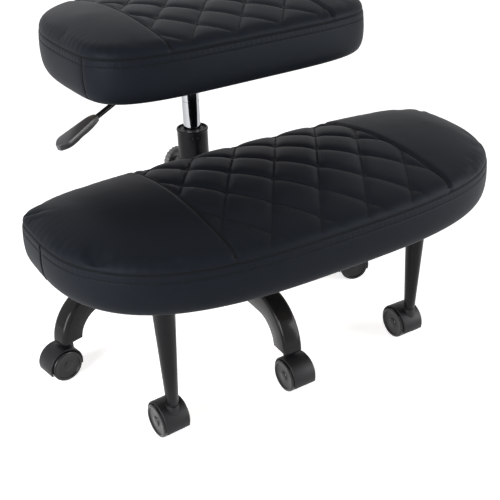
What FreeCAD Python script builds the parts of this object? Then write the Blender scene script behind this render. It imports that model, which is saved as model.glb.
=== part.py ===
import FreeCAD, Part
import math
import os
import Sketcher
from FreeCAD import Placement, Rotation, Vector

# Kneeling stool: a quilted swivel seat on a gas lift and a five-arm caster base,
# with a wide quilted rest that swings round the column on two legs with casters.
# Millimetres. +Z is up. The origin is on the floor under the column axis.
# The rest's long front edge faces -Y, and +X is to its right seen from there.

SIZES = {
    # gas lift
    "tube_diameter": 50.0,
    "tube_wall": 2.0,
    "tube_floor": 3.0,
    "tube_bottom": 62.0,
    "tube_top": 319.0,
    "lip_height": 4.0,
    "lip_reach": 0.8,
    "bushing_length": 78.0,
    "bushing_below_lip": 2.0,
    "bushing_teeth": 16.0,
    "tooth_root": 4.0,
    "tooth_depth": 3.0,
    "tooth_width": 3.2,
    "chrome_diameter": 28.0,
    "chrome_length": 237.0,
    "chrome_wall": 3.0,
    "gland_length": 15.0,
    "crown_length": 32.0,
    "ring_below_top": 60.0,
    "ring_width": 2.0,
    "ring_depth": 0.6,
    "rod_diameter": 10.0,
    "rod_below_tube": 10.0,
    "rod_length": 248.0,
    "piston_height": 10.0,
    "shoulder_diameter": 18.0,
    "shoulder_height": 6.0,
    "bearing_diameter": 34.0,
    "bearing_height": 7.0,
    "clip_diameter": 17.0,
    "clip_thickness": 1.6,
    "clip_groove_depth": 1.0,
    "pin_diameter": 7.9,
    "pin_length": 26.0,
    "pin_rise": 4.0,
    "running_clearance": 0.06,
    "rod_hole_clearance": 0.6,
    "face_gap": 0.3,
    # five-arm base
    "hub_wall": 6.5,
    "hub_bottom": 84.0,
    "hub_height": 54.0,
    "hub_chamfer": 2.0,
    "base_radius": 294.0,
    "base_turn": 195.8,
    "arm_root": 20.0,
    "arm_width": 37.0,
    "arm_tip_width": 31.0,
    "arm_top": 131.0,
    "arm_depth": 34.0,
    "arm_bend_radius": 76.0,
    "arm_overhang": 15.5,
    "arm_block": 31.0,
    "arm_wall": 4.0,
    "arm_edge_radius": 8.0,
    "channel_root": 42.0,
    # casters
    "wheel_diameter": 50.0,
    "wheel_width": 14.2,
    "wheel_chamfer": 2.0,
    "wheel_dish_diameter": 37.0,
    "wheel_dish_depth": 1.6,
    "wheel_hub_diameter": 15.0,
    "wheel_side_gap": 0.5,
    "hood_wall": 2.4,
    "hood_width": 37.0,
    "hood_skirt": 17.0,
    "hood_edge_radius": 1.6,
    "pocket_clearance": 1.2,
    "web_thickness": 13.6,
    "caster_trail": 15.0,
    "boss_diameter": 18.0,
    "boss_top": 56.0,
    "axle_diameter": 6.0,
    "axle_length": 34.0,
    "axle_end_gap": 0.6,
    "stem_diameter": 11.0,
    "stem_depth": 15.3,
    "stem_end_gap": 1.0,
    "stem_collar_diameter": 16.0,
    "stem_collar_height": 3.2,
    "stem_rise": 25.0,
    "caster_turn_1": 191.0,
    "caster_turn_2": 270.0,
    "caster_turn_3": 160.0,
    "caster_turn_4": 231.8,
    "caster_turn_5": 303.8,
    "caster_turn_left": 93.2,
    "caster_turn_right": 88.9,
    # swivel collar and clamp knob
    "collar_wall": 4.0,
    "collar_bottom": 196.0,
    "collar_height": 68.0,
    "bush_wall": 2.4,
    "bush_flange_height": 1.6,
    "bush_flange_reach": 2.5,
    "knob_turn": 100.0,
    "knob_below_top": 18.0,
    "knob_diameter": 50.0,
    "knob_depth": 13.0,
    "knob_gap": 4.0,
    "knob_wall": 3.5,
    "knob_rib_diameter": 2.6,
    "knob_ribs": 24.0,
    "knob_hub_diameter": 16.0,
    "stud_diameter": 8.0,
    "collar_boss_length": 6.5,
    "collar_boss_diameter": 18.0,
    # arm and legs of the rest
    "beam_width": 50.0,
    "beam_height": 25.0,
    "beam_wall": 2.5,
    "beam_end": 236.0,
    "plate_width": 190.0,
    "plate_front": 330.0,
    "plate_back": 180.0,
    "plate_thickness": 4.0,
    "rest_bolt_pitch_x": 140.0,
    "rest_bolt_pitch_y": 100.0,
    "bolt_diameter": 8.0,
    "bolt_head_diameter": 14.0,
    "bolt_head_height": 5.0,
    "bolt_reach": 10.0,
    "leg_x": 215.0,
    "leg_y": 307.0,
    "leg_top_diameter": 34.0,
    "leg_foot_diameter": 17.4,
    "leg_wall": 2.5,
    "leg_flange_diameter": 62.0,
    "leg_flange_height": 4.0,
    # both cushions
    "board_thickness": 12.0,
    "board_inset": 18.0,
    "bottom_inset": 13.0,
    "bottom_lift": 20.0,
    "side_bulge": 5.0,
    "shoulder_inset": 16.0,
    "shoulder_rise": 13.0,
    "end_rise": 8.0,
    "shoulder_share": 0.3,
    "bend_inset_share": 0.42,
    "bend_rise_share": 0.62,
    "crown_power": 2.2,
    "crown_root": 0.6,
    "end_lift_power": 40.0,
    "seam_depth": 2.5,
    "seam_radius": 6.0,
    "seam_overrun": 1.15,
    # rest cushion
    "rest_bottom": 256.0,
    "rest_seam_height": 60.0,
    "rest_crown": 33.0,
    "rest_half_width": 341.0,
    "rest_panel": 166.0,
    "rest_front": 428.0,
    "rest_side": 190.0,
    "rest_back": 122.0,
    "rest_front_power": 2.7,
    "rest_back_power": 5.0,
    # seat cushion
    "seat_turn": 2.3,
    "seat_bottom": 448.0,
    "seat_seam_height": 56.0,
    "seat_crown": 32.0,
    "seat_half_width": 229.5,
    "seat_panel": 131.0,
    "seat_front": 198.0,
    "seat_side": 70.0,
    "seat_back": -155.0,
    "seat_front_power": 5.0,
    "seat_back_power": 2.7,
    # seat mechanism and lever
    "mechanism_turn": 200.0,
    "box_side": 90.0,
    "box_height": 23.0,
    "box_wall": 3.0,
    "seat_plate_side": 190.0,
    "seat_plate_thickness": 3.0,
    "socket_diameter": 36.0,
    "socket_length": 14.0,
    "column_stand": 2.0,
    "seat_bolt_pitch": 150.0,
    "lever_diameter": 7.5,
    "lever_gap": 0.35,
    "lever_overlap": 3.0,
    "lever_bend_at": 62.0,
    "lever_bend_radius": 18.0,
    "lever_slope": 16.7,
    "lever_length": 225.0,
    "pivot_reach": 32.0,
    "pivot_diameter": 5.0,
    "eye_diameter": 12.0,
    "eye_width": 10.0,
    "ear_thickness": 3.0,
    "ear_height": 16.0,
    "slot_width": 14.0,
    "slot_height": 16.0,
    "grip_start": 196.0,
    "grip_length": 77.0,
    "grip_tip_width": 22.0,
    "grip_neck_width": 12.0,
    "grip_thickness": 14.0,
    "grip_edge_radius": 3.0,
    "scallop_radius": 9.0,
    "scallop_depth": 1.6,
    "scallop_pitch": 15.0,
    "scallops": 4.0,
}

# Heights that follow from the driving sizes.
TUBE_FLOOR_TOP = "(tube_bottom + tube_floor)"
BEARING_BOTTOM = "(tube_bottom + tube_floor + face_gap)"
SHOULDER_BOTTOM = "(tube_bottom + tube_floor + face_gap + bearing_height)"
ROD_TOP = "(tube_bottom - rod_below_tube + rod_length)"
CLIP_TOP = "(tube_bottom - face_gap)"
BOX_BOTTOM = "(seat_bottom - seat_plate_thickness - box_height)"
CHROME_TOP = "(seat_bottom - seat_plate_thickness - box_height + box_wall + column_stand)"
PIN_TOP = f"({CHROME_TOP} + pin_rise)"
LEVER_HEIGHT = f"({PIN_TOP} + lever_gap + lever_diameter / 2)"
ARM_FOOT = "(boss_top + face_gap + stem_collar_height)"
HOOD_RADIUS = "(wheel_diameter / 2 + pocket_clearance + hood_wall)"
WHEEL_FACE = "(web_thickness / 2 + wheel_side_gap)"
BUSH_RADIUS = "(tube_diameter / 2 + running_clearance + bush_wall)"
HUB_RADIUS = "(tube_diameter / 2 + hub_wall)"
COLLAR_TOP = "(collar_bottom + collar_height)"
COLLAR_RADIUS = f"({BUSH_RADIUS} + collar_wall)"
COLLAR_BOSS_REACH = f"({COLLAR_RADIUS} + collar_boss_length)"
KNOB_REACH = f"({COLLAR_BOSS_REACH} + knob_gap)"
KNOB_HEIGHT = f"({COLLAR_TOP} - knob_below_top)"
PLATE_BOTTOM = "(rest_bottom - plate_thickness)"

doc = FreeCAD.newDocument("kneeling_stool")
sheet = doc.addObject("Spreadsheet::Sheet", "Sizes")
for row, (alias, value) in enumerate(SIZES.items(), start=1):
    sheet.set(f"A{row}", alias)
    sheet.set(f"B{row}", str(value))
    sheet.setAlias(f"B{row}", alias)
probe = doc.addObject("Part::Feature", "Reader")
doc.recompute()

parts = []


def cells(expression):
    """The expression with each alias written as a cell of the sheet."""
    words = []
    word = ""
    for letter in expression + " ":
        if letter.isalnum() or letter == "_":
            word += letter
            continue
        words.append(f"Sizes.{word}" if word in SIZES else word)
        words.append(letter)
        word = ""
    return "".join(words).strip()


def size(expression):
    """The number that an expression in the sheet's aliases stands for."""
    return float(probe.evalExpression(cells(expression)))


def bind(feature, **sizes):
    """Tie properties of a feature, or the x, y and z of its place, to the sheet."""
    places = {"x": "Placement.Base.x", "y": "Placement.Base.y", "z": "Placement.Base.z"}
    for name, expression in sizes.items():
        feature.setExpression(places.get(name, name), cells(expression))
    return feature


def place(feature, x="0", y="0", z="0", turn="0"):
    """Stand a feature at x, y, z and turn it about Z, all tied to the sheet."""
    base = Vector(size(x), size(y), size(z))
    feature.Placement = Placement(base, Rotation(Vector(0, 0, 1), size(turn)))
    bind(feature, x=x, y=y, z=z)
    feature.setExpression("Placement.Rotation.Angle", cells(turn))
    return feature


def finish(feature, label):
    """Give a sub-part its node name and list it for writing."""
    feature.Label = label
    parts.append(feature)
    return feature


def cylinder(name, radius, height, x="0", y="0", z="0"):
    """A cylinder up from its place."""
    feature = doc.addObject("Part::Cylinder", name)
    return bind(feature, Radius=radius, Height=height, x=x, y=y, z=z)


def lying(name, radius, height, x="0", y="0", z="0"):
    """A cylinder that runs from its place towards -Y."""
    feature = doc.addObject("Part::Cylinder", name)
    feature.Placement = Placement(Vector(), Rotation(Vector(1, 0, 0), 90))
    return bind(feature, Radius=radius, Height=height, x=x, y=y, z=z)


def box(name, length, width, height, x="0", y="0", z="0"):
    feature = doc.addObject("Part::Box", name)
    return bind(feature, Length=length, Width=width, Height=height, x=x, y=y, z=z)


def fused(name, shapes):
    feature = doc.addObject("Part::MultiFuse", name)
    feature.Shapes = shapes
    return feature


def cut(name, base, *tools):
    feature = doc.addObject("Part::Cut", name)
    feature.Base = base
    feature.Tool = tools[0] if len(tools) == 1 else fused(name + "_tools", list(tools))
    return feature


def group(name, *shapes):
    feature = doc.addObject("Part::Compound", name)
    feature.Links = list(shapes)
    return feature


def instance(master, name, x="0", y="0", z="0", turn="0"):
    """The master shape once more, at a place of its own."""
    return place(group(name, master), x, y, z, turn)


def plane_of(body, role):
    return next(plane for plane in body.Origin.OriginFeatures if plane.Role == role)


def outline(body, name, corners, role="XZ_Plane"):
    """A closed sketch whose corners are tied to the sheet, each by two expressions."""
    sketch = body.newObject("Sketcher::SketchObject", name)
    sketch.AttachmentSupport = [(plane_of(body, role), "")]
    sketch.MapMode = "FlatFace"
    places = [Vector(size(across), size(up), 0) for across, up in corners]
    count = len(corners)
    for index in range(count):
        sketch.addGeometry(Part.LineSegment(places[index], places[(index + 1) % count]), False)
    for index in range(count):
        sketch.addConstraint(Sketcher.Constraint("Coincident", index, 2, (index + 1) % count, 1))
    for index, (across, up) in enumerate(corners):
        tie(sketch, index, "DistanceX", across, places[index].x, -2)
        tie(sketch, index, "DistanceY", up, places[index].y, -1)
    return sketch


def tie(sketch, index, kind, expression, value, axis):
    """Hold one corner of a sketch at a distance from an axis, or on it."""
    if expression == "0":
        sketch.addConstraint(Sketcher.Constraint("PointOnObject", index, 1, axis))
        return
    item = sketch.addConstraint(Sketcher.Constraint(kind, -1, 1, index, 1, value))
    sketch.setExpression(f"Constraints[{item}]", cells(expression))


def turned(name, corners, axis="V_Axis"):
    """A body of revolution. Corners are radius and height, or height and radius about X."""
    body = doc.addObject("PartDesign::Body", name)
    sketch = outline(body, name + "_profile", corners)
    feature = body.newObject("PartDesign::Revolution", name + "_turn")
    feature.Profile = sketch
    feature.ReferenceAxis = (sketch, [axis])
    feature.Angle = 360.0
    return body


# Gas lift. The tube is fixed in the hub, the rod turns on its bearing, and the
# chrome column slides on the rod's piston.

def build_gas_tube():
    inner = "tube_diameter / 2 - tube_wall"
    hole = "rod_diameter / 2 + rod_hole_clearance"
    lip = "tube_diameter / 2 + lip_reach"
    body = turned("tube_body", [
        (hole, "tube_bottom"),
        ("tube_diameter / 2", "tube_bottom"),
        ("tube_diameter / 2", "tube_top - lip_height"),
        (lip, "tube_top - lip_height + lip_reach"),
        (lip, "tube_top - lip_reach"),
        ("tube_diameter / 2", "tube_top"),
        (inner, "tube_top"),
        (inner, TUBE_FLOOR_TOP),
        (hole, TUBE_FLOOR_TOP),
    ])
    finish(body, "gas_outer_tube")


def build_guide_bushing():
    """The nylon guide, with a ring of teeth round its mouth."""
    top = "tube_top - bushing_below_lip"
    bore = "chrome_diameter / 2 + running_clearance"
    body = turned("bushing_body", [
        (bore, f"{top} - bushing_length"),
        ("tube_diameter / 2 - tube_wall", f"{top} - bushing_length"),
        ("tube_diameter / 2 - tube_wall", top),
        (bore, top),
    ])
    doc.recompute()
    near = "chrome_diameter / 2 + tooth_root"
    low = f"{top} - tooth_depth"
    high = f"{top} + tooth_depth"
    notch = outline(body, "bushing_notch", [
        (near, low),
        ("tube_diameter / 2", low),
        ("tube_diameter / 2", high),
        (near, high),
    ])
    pocket = body.newObject("PartDesign::Pocket", "bushing_gap")
    pocket.Profile = notch
    pocket.Midplane = True
    pocket.setExpression("Length", cells("tooth_width"))
    doc.recompute()
    teeth = body.newObject("PartDesign::PolarPattern", "bushing_crown")
    teeth.Originals = [pocket]
    teeth.Axis = (notch, ["V_Axis"])
    teeth.Angle = 360.0
    teeth.setExpression("Occurrences", cells("bushing_teeth"))
    body.Tip = teeth
    finish(body, "guide_bushing")


def build_lift_rod():
    piston = "chrome_diameter / 2 - chrome_wall - running_clearance"
    rod = "rod_diameter / 2"
    groove = "rod_diameter / 2 - clip_groove_depth"
    clip_bottom = f"{CLIP_TOP} - clip_thickness"
    shoulder_top = f"{SHOULDER_BOTTOM} + shoulder_height"
    finish(turned("rod_body", [
        ("0", "tube_bottom - rod_below_tube"),
        (rod, "tube_bottom - rod_below_tube"),
        (rod, clip_bottom),
        (groove, clip_bottom),
        (groove, CLIP_TOP),
        (rod, CLIP_TOP),
        (rod, SHOULDER_BOTTOM),
        ("shoulder_diameter / 2", SHOULDER_BOTTOM),
        ("shoulder_diameter / 2", shoulder_top),
        (rod, shoulder_top),
        (rod, f"{ROD_TOP} - piston_height"),
        (piston, f"{ROD_TOP} - piston_height"),
        (piston, ROD_TOP),
        ("0", ROD_TOP),
    ]), "piston_rod")
    finish(turned("bearing_body", [
        (rod, BEARING_BOTTOM),
        ("bearing_diameter / 2", BEARING_BOTTOM),
        ("bearing_diameter / 2", SHOULDER_BOTTOM),
        (rod, SHOULDER_BOTTOM),
    ]), "thrust_bearing")
    finish(turned("clip_body", [
        (groove, clip_bottom),
        ("clip_diameter / 2", clip_bottom),
        ("clip_diameter / 2", CLIP_TOP),
        (groove, CLIP_TOP),
    ]), "lift_retaining_clip")


def build_chrome_column():
    outer = "chrome_diameter / 2"
    inner = "chrome_diameter / 2 - chrome_wall"
    gland = "rod_diameter / 2 + running_clearance"
    valve = "pin_diameter / 2 + running_clearance"
    ring = f"{CHROME_TOP} - ring_below_top"
    bottom = f"{CHROME_TOP} - chrome_length"
    finish(turned("chrome_body", [
        (gland, bottom),
        (outer, bottom),
        (outer, f"{ring} - ring_width"),
        (f"{outer} - ring_depth", f"{ring} - ring_width"),
        (f"{outer} - ring_depth", ring),
        (outer, ring),
        (outer, CHROME_TOP),
        (valve, CHROME_TOP),
        (valve, f"{CHROME_TOP} - crown_length"),
        (inner, f"{CHROME_TOP} - crown_length"),
        (inner, f"{bottom} + gland_length"),
        (gland, f"{bottom} + gland_length"),
    ]), "chrome_column")
    finish(cylinder("pin_body", "pin_diameter / 2", "pin_length", z=f"{PIN_TOP} - pin_length"),
           "release_pin")


# Five-arm base.

def build_hub():
    bore = "tube_diameter / 2"
    outer = HUB_RADIUS
    top = "hub_bottom + hub_height"
    finish(turned("hub_body", [
        (bore, "hub_bottom"),
        (f"{outer} - hub_chamfer", "hub_bottom"),
        (outer, "hub_bottom + hub_chamfer"),
        (outer, f"{top} - hub_chamfer"),
        (f"{outer} - hub_chamfer", top),
        (bore, top),
    ]), "base_hub")


def arm_shape():
    """One arm along +X: a level channel with rounded edges that bends down to a solid tip."""
    root = size("arm_root")
    tip = size("base_radius + arm_overhang")
    top = size("arm_top")
    foot = size(ARM_FOOT)
    low = size("arm_top - arm_depth")
    wall = size("arm_wall")
    bend = size("arm_bend_radius")
    block = size("arm_block")
    middle = Vector(tip - bend, 0, top - bend)

    end = on_arc(middle, bend, height=foot)
    crease = on_arc(middle, bend - block, height=low)
    heel = on_arc(middle, bend - block, height=foot)
    side = Part.Wire([
        Part.makeLine(Vector(root, 0, low), Vector(root, 0, top)),
        Part.makeLine(Vector(root, 0, top), Vector(middle.x, 0, top)),
        arc_edge(middle, Vector(middle.x, 0, top), end),
        Part.makeLine(end, heel),
        arc_edge(middle, heel, crease),
        Part.makeLine(crease, Vector(root, 0, low)),
    ])
    inside_start = Vector(size("channel_root"), 0, foot - wall)
    inside_corner = Vector(inside_start.x, 0, top - wall)
    inside_end = on_arc(middle, bend - wall, reach=tip - block)
    inside = Part.Wire([
        Part.makeLine(inside_start, inside_corner),
        Part.makeLine(inside_corner, Vector(middle.x, 0, top - wall)),
        arc_edge(middle, Vector(middle.x, 0, top - wall), inside_end),
        Part.makeLine(inside_end, Vector(inside_end.x, 0, foot - wall)),
        Part.makeLine(Vector(inside_end.x, 0, foot - wall), inside_start),
    ])
    half = size("arm_width / 2")
    slim = size("arm_tip_width / 2")
    body = both_ways(side, 2 * half).common(plan_prism(root, tip, half, slim, foot - wall, top + wall))
    body = body.makeFillet(size("arm_edge_radius"), top_edges(body, low))
    channel = plan_prism(root, tip, half - wall, slim - wall, foot - 2 * wall, top)
    channel = both_ways(inside, 2 * half).common(channel)
    hub = Part.makeCylinder(size(HUB_RADIUS), top, Vector(0, 0, foot))
    socket = Part.makeCylinder(size("stem_diameter / 2"), size("stem_rise + stem_end_gap"),
                               Vector(size("base_radius"), 0, foot))
    return body.cut([channel, hub, socket])


def on_arc(middle, radius, height=None, reach=None):
    """The point right of or above an arc's middle, at a given height or reach."""
    if reach is None:
        reach = middle.x + math.sqrt(radius ** 2 - (height - middle.z) ** 2)
    else:
        height = middle.z + math.sqrt(radius ** 2 - (reach - middle.x) ** 2)
    return Vector(reach, 0, height)


def arc_edge(middle, start, end):
    """The short arc about a middle from one point to another."""
    between = (start - middle + end - middle).normalize() * (start - middle).Length
    return Part.Arc(start, middle + between, end).toShape()


def both_ways(wire, width):
    """A wire in the XZ plane as a solid, half its width to each side."""
    face = Part.Face(wire)
    face.translate(Vector(0, -width / 2, 0))
    return face.extrude(Vector(0, width, 0))


def plan_prism(root, tip, half_root, half_tip, low, high):
    """A prism along X whose width tapers from its root to its tip."""
    corners = [
        Vector(root, -half_root, low), Vector(tip, -half_tip, low),
        Vector(tip, half_tip, low), Vector(root, half_root, low),
    ]
    face = Part.Face(Part.makePolygon(corners + corners[:1]))
    return face.extrude(Vector(0, 0, high - low))


def top_edges(body, low):
    """The long edges between an arm's upper side and its two flanks."""
    edges = []
    for edge in body.Edges:
        centre = edge.CenterOfMass
        runs_out = edge.BoundBox.XLength > edge.BoundBox.YLength * 3
        outside = centre.z > low + size("arm_depth / 2") or centre.x > size("base_radius")
        if runs_out and outside:
            edges.append(edge)
    return edges


def solid_feature(name, shape):
    """A shape made here from the sheet's sizes, as a feature of the document."""
    feature = doc.addObject("Part::Feature", name)
    feature.Shape = shape
    return feature


def build_arms():
    arm = solid_feature("arm_master", arm_shape())
    for index in range(5):
        name = f"base_arm_{index + 1}"
        finish(instance(arm, name + "_body", turn=f"base_turn + {72 * index}"), name)


# Twin-wheel casters. A caster's own frame has its stem at the origin and trails to +X.

def stem_master():
    """A grip-neck stem with the collar that bears on the caster and the foot."""
    return turned("stem_body", [
        ("0", "boss_top - stem_depth"),
        ("stem_diameter / 2", "boss_top - stem_depth"),
        ("stem_diameter / 2", "boss_top + face_gap"),
        ("stem_collar_diameter / 2", "boss_top + face_gap"),
        ("stem_collar_diameter / 2", ARM_FOOT),
        ("stem_diameter / 2", ARM_FOOT),
        ("stem_diameter / 2", f"{ARM_FOOT} + stem_rise"),
        ("0", f"{ARM_FOOT} + stem_rise"),
    ])


def hood_master():
    """A hood round both wheels: a shell, a middle web, and the boss for the stem."""
    disc = doc.addObject("PartDesign::Body", "hood_disc")
    sketch = disc.newObject("Sketcher::SketchObject", "hood_side")
    sketch.AttachmentSupport = [(plane_of(disc, "XZ_Plane"), "")]
    sketch.MapMode = "FlatFace"
    centre = Vector(size("caster_trail"), size("wheel_diameter / 2"), 0)
    sketch.addGeometry(Part.Circle(centre, Vector(0, 0, 1), size(HOOD_RADIUS)), False)
    for kind, expression in (("DistanceX", "caster_trail"), ("DistanceY", "wheel_diameter / 2")):
        item = sketch.addConstraint(Sketcher.Constraint(kind, -1, 1, 0, 3, size(expression)))
        sketch.setExpression(f"Constraints[{item}]", cells(expression))
    item = sketch.addConstraint(Sketcher.Constraint("Radius", 0, size(HOOD_RADIUS)))
    sketch.setExpression(f"Constraints[{item}]", cells(HOOD_RADIUS))
    pad = disc.newObject("PartDesign::Pad", "hood_pad")
    pad.Profile = sketch
    pad.Midplane = True
    pad.setExpression("Length", cells("hood_width"))
    doc.recompute()
    rims = [f"Edge{number}" for number, edge in enumerate(pad.Shape.Edges, start=1)
            if isinstance(edge.Curve, Part.Circle)]
    rounding = disc.newObject("PartDesign::Fillet", "hood_rounding")
    rounding.Base = (pad, rims)
    rounding.setExpression("Radius", cells("hood_edge_radius"))
    disc.Tip = rounding

    boss = cylinder("hood_boss", "boss_diameter / 2", "boss_top - hood_skirt", z="hood_skirt")
    hood = fused("hood_block", [disc, boss])
    pocket = "wheel_diameter / 2 + pocket_clearance"
    depth = "hood_width / 2 - web_thickness / 2 + pocket_clearance"
    middle = {"x": "caster_trail", "z": "wheel_diameter / 2"}
    left = lying("pocket_left", pocket, depth, y="web_thickness / 2 + " + depth, **middle)
    right = lying("pocket_right", pocket, depth, y="-web_thickness / 2", **middle)
    bore = lying("axle_bore", "axle_diameter / 2", "hood_width", y="hood_width / 2", **middle)
    socket = cylinder("hood_socket", "stem_diameter / 2 + running_clearance",
                      "stem_depth + stem_end_gap", z="boss_top - stem_depth - stem_end_gap")
    span = HOOD_RADIUS + " * 3"
    below = box("hood_below", span, span, span, x=f"caster_trail - {span} / 2",
                y=f"-{span} / 2", z=f"hood_skirt - {span}")
    return cut("hood_shape", hood, left, right, bore, socket, below)


def axle_master():
    return lying("axle_rod", "axle_diameter / 2", "axle_length", y="axle_length / 2")


def wheel_master():
    """A wheel about the Y axis, on the +Y side, with a dished face and a blind bore."""
    tread = "wheel_diameter / 2"
    face = f"{WHEEL_FACE} + wheel_width"
    bore = "axle_diameter / 2 + running_clearance"
    bore_end = "axle_length / 2 + axle_end_gap"
    dish = f"{face} - wheel_dish_depth"
    body = turned("wheel_body", [
        (bore, WHEEL_FACE),
        (f"{tread} - wheel_chamfer", WHEEL_FACE),
        (tread, f"{WHEEL_FACE} + wheel_chamfer"),
        (tread, f"{face} - wheel_chamfer"),
        (f"{tread} - wheel_chamfer", face),
        ("wheel_dish_diameter / 2", face),
        ("wheel_dish_diameter / 2 - wheel_dish_depth", dish),
        ("wheel_hub_diameter / 2", dish),
        ("wheel_hub_diameter / 2 - wheel_dish_depth", face),
        ("0", face),
        ("0", bore_end),
        (bore, bore_end),
    ])
    body.Placement = Placement(Vector(), Rotation(Vector(1, 0, 0), -90))
    return group("wheel_shape", body)


def caster_places():
    """Name, stem place and parking turn of each caster."""
    for index in range(5):
        azimuth = f"(base_turn + {72 * index})"
        yield (f"{index + 1}", f"base_radius * cos({azimuth})", f"base_radius * sin({azimuth})",
               f"caster_turn_{index + 1}")
    yield "left", "-leg_x", "-leg_y", "caster_turn_left"
    yield "right", "leg_x", "-leg_y", "caster_turn_right"


def build_casters():
    stem = stem_master()
    hood = hood_master()
    axle = axle_master()
    wheel = wheel_master()
    stems = []
    for name, x, y, turn in caster_places():
        hub_x = f"{x} + caster_trail * cos({turn})"
        hub_y = f"{y} + caster_trail * sin({turn})"
        stems.append(instance(stem, f"stem_{name}", x, y))
        finish(instance(hood, f"hood_{name}_body", x, y, turn=turn), f"caster_hood_{name}")
        finish(instance(axle, f"axle_{name}_body", hub_x, hub_y, "wheel_diameter / 2", turn),
               f"caster_axle_{name}")
        for side, extra in (("a", ""), ("b", " + 180")):
            finish(instance(wheel, f"wheel_{name}_{side}_body", hub_x, hub_y,
                            "wheel_diameter / 2", turn + extra), f"caster_wheel_{name}_{side}")
    finish(group("base_stems_group", *stems[:5]), "base_caster_stems")
    finish(group("leg_stems_group", *stems[5:]), "leg_caster_stems")


# Swivel collar, clamp knob, arm and legs of the rest.

def build_collar():
    ring = turned("collar_body", [
        (BUSH_RADIUS, "collar_bottom"),
        (COLLAR_RADIUS, "collar_bottom"),
        (COLLAR_RADIUS, COLLAR_TOP),
        (BUSH_RADIUS, COLLAR_TOP),
    ])
    bore = "stud_diameter / 2 + running_clearance"
    boss = turned("collar_boss", [
        (BUSH_RADIUS + " + face_gap", bore),
        (COLLAR_BOSS_REACH, bore),
        (COLLAR_BOSS_REACH, "collar_boss_diameter / 2"),
        (BUSH_RADIUS + " + face_gap", "collar_boss_diameter / 2"),
    ], axis="H_Axis")
    hole = turned("collar_hole", [
        ("tube_diameter / 2", "0"),
        (COLLAR_BOSS_REACH, "0"),
        (COLLAR_BOSS_REACH, bore),
        ("tube_diameter / 2", bore),
    ], axis="H_Axis")
    place(boss, z=KNOB_HEIGHT, turn="knob_turn")
    place(hole, z=KNOB_HEIGHT, turn="knob_turn")
    finish(fused("collar_shape", [cut("collar_drilled", ring, hole), boss]), "swivel_collar")

    inside = "tube_diameter / 2 + running_clearance"
    flange = BUSH_RADIUS + " + bush_flange_reach"
    finish(turned("bush_body", [
        (inside, "collar_bottom"),
        (BUSH_RADIUS, "collar_bottom"),
        (BUSH_RADIUS, COLLAR_TOP),
        (flange, COLLAR_TOP),
        (flange, f"{COLLAR_TOP} + bush_flange_height"),
        (inside, f"{COLLAR_TOP} + bush_flange_height"),
    ]), "collar_bush")


def build_knob():
    """A ribbed cup, open towards the column, with its hub round the stud."""
    rim = "knob_diameter / 2"
    back = KNOB_REACH + " + knob_depth"
    stud = "stud_diameter / 2"
    hub = "knob_hub_diameter / 2"
    cup = turned("knob_cup", [
        (KNOB_REACH, stud),
        (KNOB_REACH, hub),
        (f"{back} - knob_wall", hub),
        (f"{back} - knob_wall", f"{rim} - knob_wall"),
        (KNOB_REACH, f"{rim} - knob_wall / 2"),
        (KNOB_REACH, rim),
        (f"{back} - knob_wall / 2", rim),
        (back, f"{rim} - knob_wall / 2"),
        (back, "0"),
        (f"{back} - knob_wall", "0"),
        (f"{back} - knob_wall", stud),
    ], axis="H_Axis")
    doc.recompute()
    rib = cup.newObject("Sketcher::SketchObject", "knob_rib")
    rib.AttachmentSupport = [(plane_of(cup, "YZ_Plane"), "")]
    rib.MapMode = "FlatFace"
    rib.setExpression("AttachmentOffset.Base.z", cells(KNOB_REACH))
    circle = Part.Circle(Vector(size(rim), 0, 0), Vector(0, 0, 1), size("knob_rib_diameter / 2"))
    rib.addGeometry(circle, False)
    rib.addConstraint(Sketcher.Constraint("PointOnObject", 0, 3, -1))
    item = rib.addConstraint(Sketcher.Constraint("DistanceX", -1, 1, 0, 3, size(rim)))
    rib.setExpression(f"Constraints[{item}]", cells(rim))
    item = rib.addConstraint(Sketcher.Constraint("Radius", 0, size("knob_rib_diameter / 2")))
    rib.setExpression(f"Constraints[{item}]", cells("knob_rib_diameter / 2"))
    pad = cup.newObject("PartDesign::Pad", "knob_rib_pad")
    pad.Profile = rib
    pad.setExpression("Length", cells("knob_depth - knob_wall / 2"))
    doc.recompute()
    ribs = cup.newObject("PartDesign::PolarPattern", "knob_ribbing")
    ribs.Originals = [pad]
    ribs.Axis = (rib, ["N_Axis"])
    ribs.Angle = 360.0
    ribs.setExpression("Occurrences", cells("knob_ribs"))
    cup.Tip = ribs
    finish(instance(cup, "knob_body", z=KNOB_HEIGHT, turn="knob_turn"), "clamp_knob")

    start = BUSH_RADIUS + " + face_gap"
    rod = turned("stud_rod", [
        (start, "0"),
        (f"{back} - knob_wall", "0"),
        (f"{back} - knob_wall", stud),
        (start, stud),
    ], axis="H_Axis")
    finish(instance(rod, "stud_body", z=KNOB_HEIGHT, turn="knob_turn"), "clamp_stud")


def bolt_master(name, bearing_height, reach):
    """A hexagon-socket bolt, head down, whose head bears at a height."""
    return turned(name, [
        ("0", f"{bearing_height} - bolt_head_height"),
        ("bolt_head_diameter / 2", f"{bearing_height} - bolt_head_height"),
        ("bolt_head_diameter / 2", bearing_height),
        ("bolt_diameter / 2", bearing_height),
        ("bolt_diameter / 2", f"{bearing_height} + {reach}"),
        ("0", f"{bearing_height} + {reach}"),
    ])


def four_corners(pitch_x, pitch_y, middle_y="0"):
    """Place expressions of four fasteners about a point on the Y axis."""
    return [(f"{across} * {pitch_x} / 2", f"{middle_y} + {along} * {pitch_y} / 2")
            for across in (-1, 1) for along in (-1, 1)]


def bolt_holes(name, places, low, height):
    """Clearance holes for bolts at the given places."""
    radius = "bolt_diameter / 2 + running_clearance"
    return fused(name, [cylinder(f"{name}_{index}", radius, height, x=x, y=y, z=low)
                        for index, (x, y) in enumerate(places)])


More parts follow.
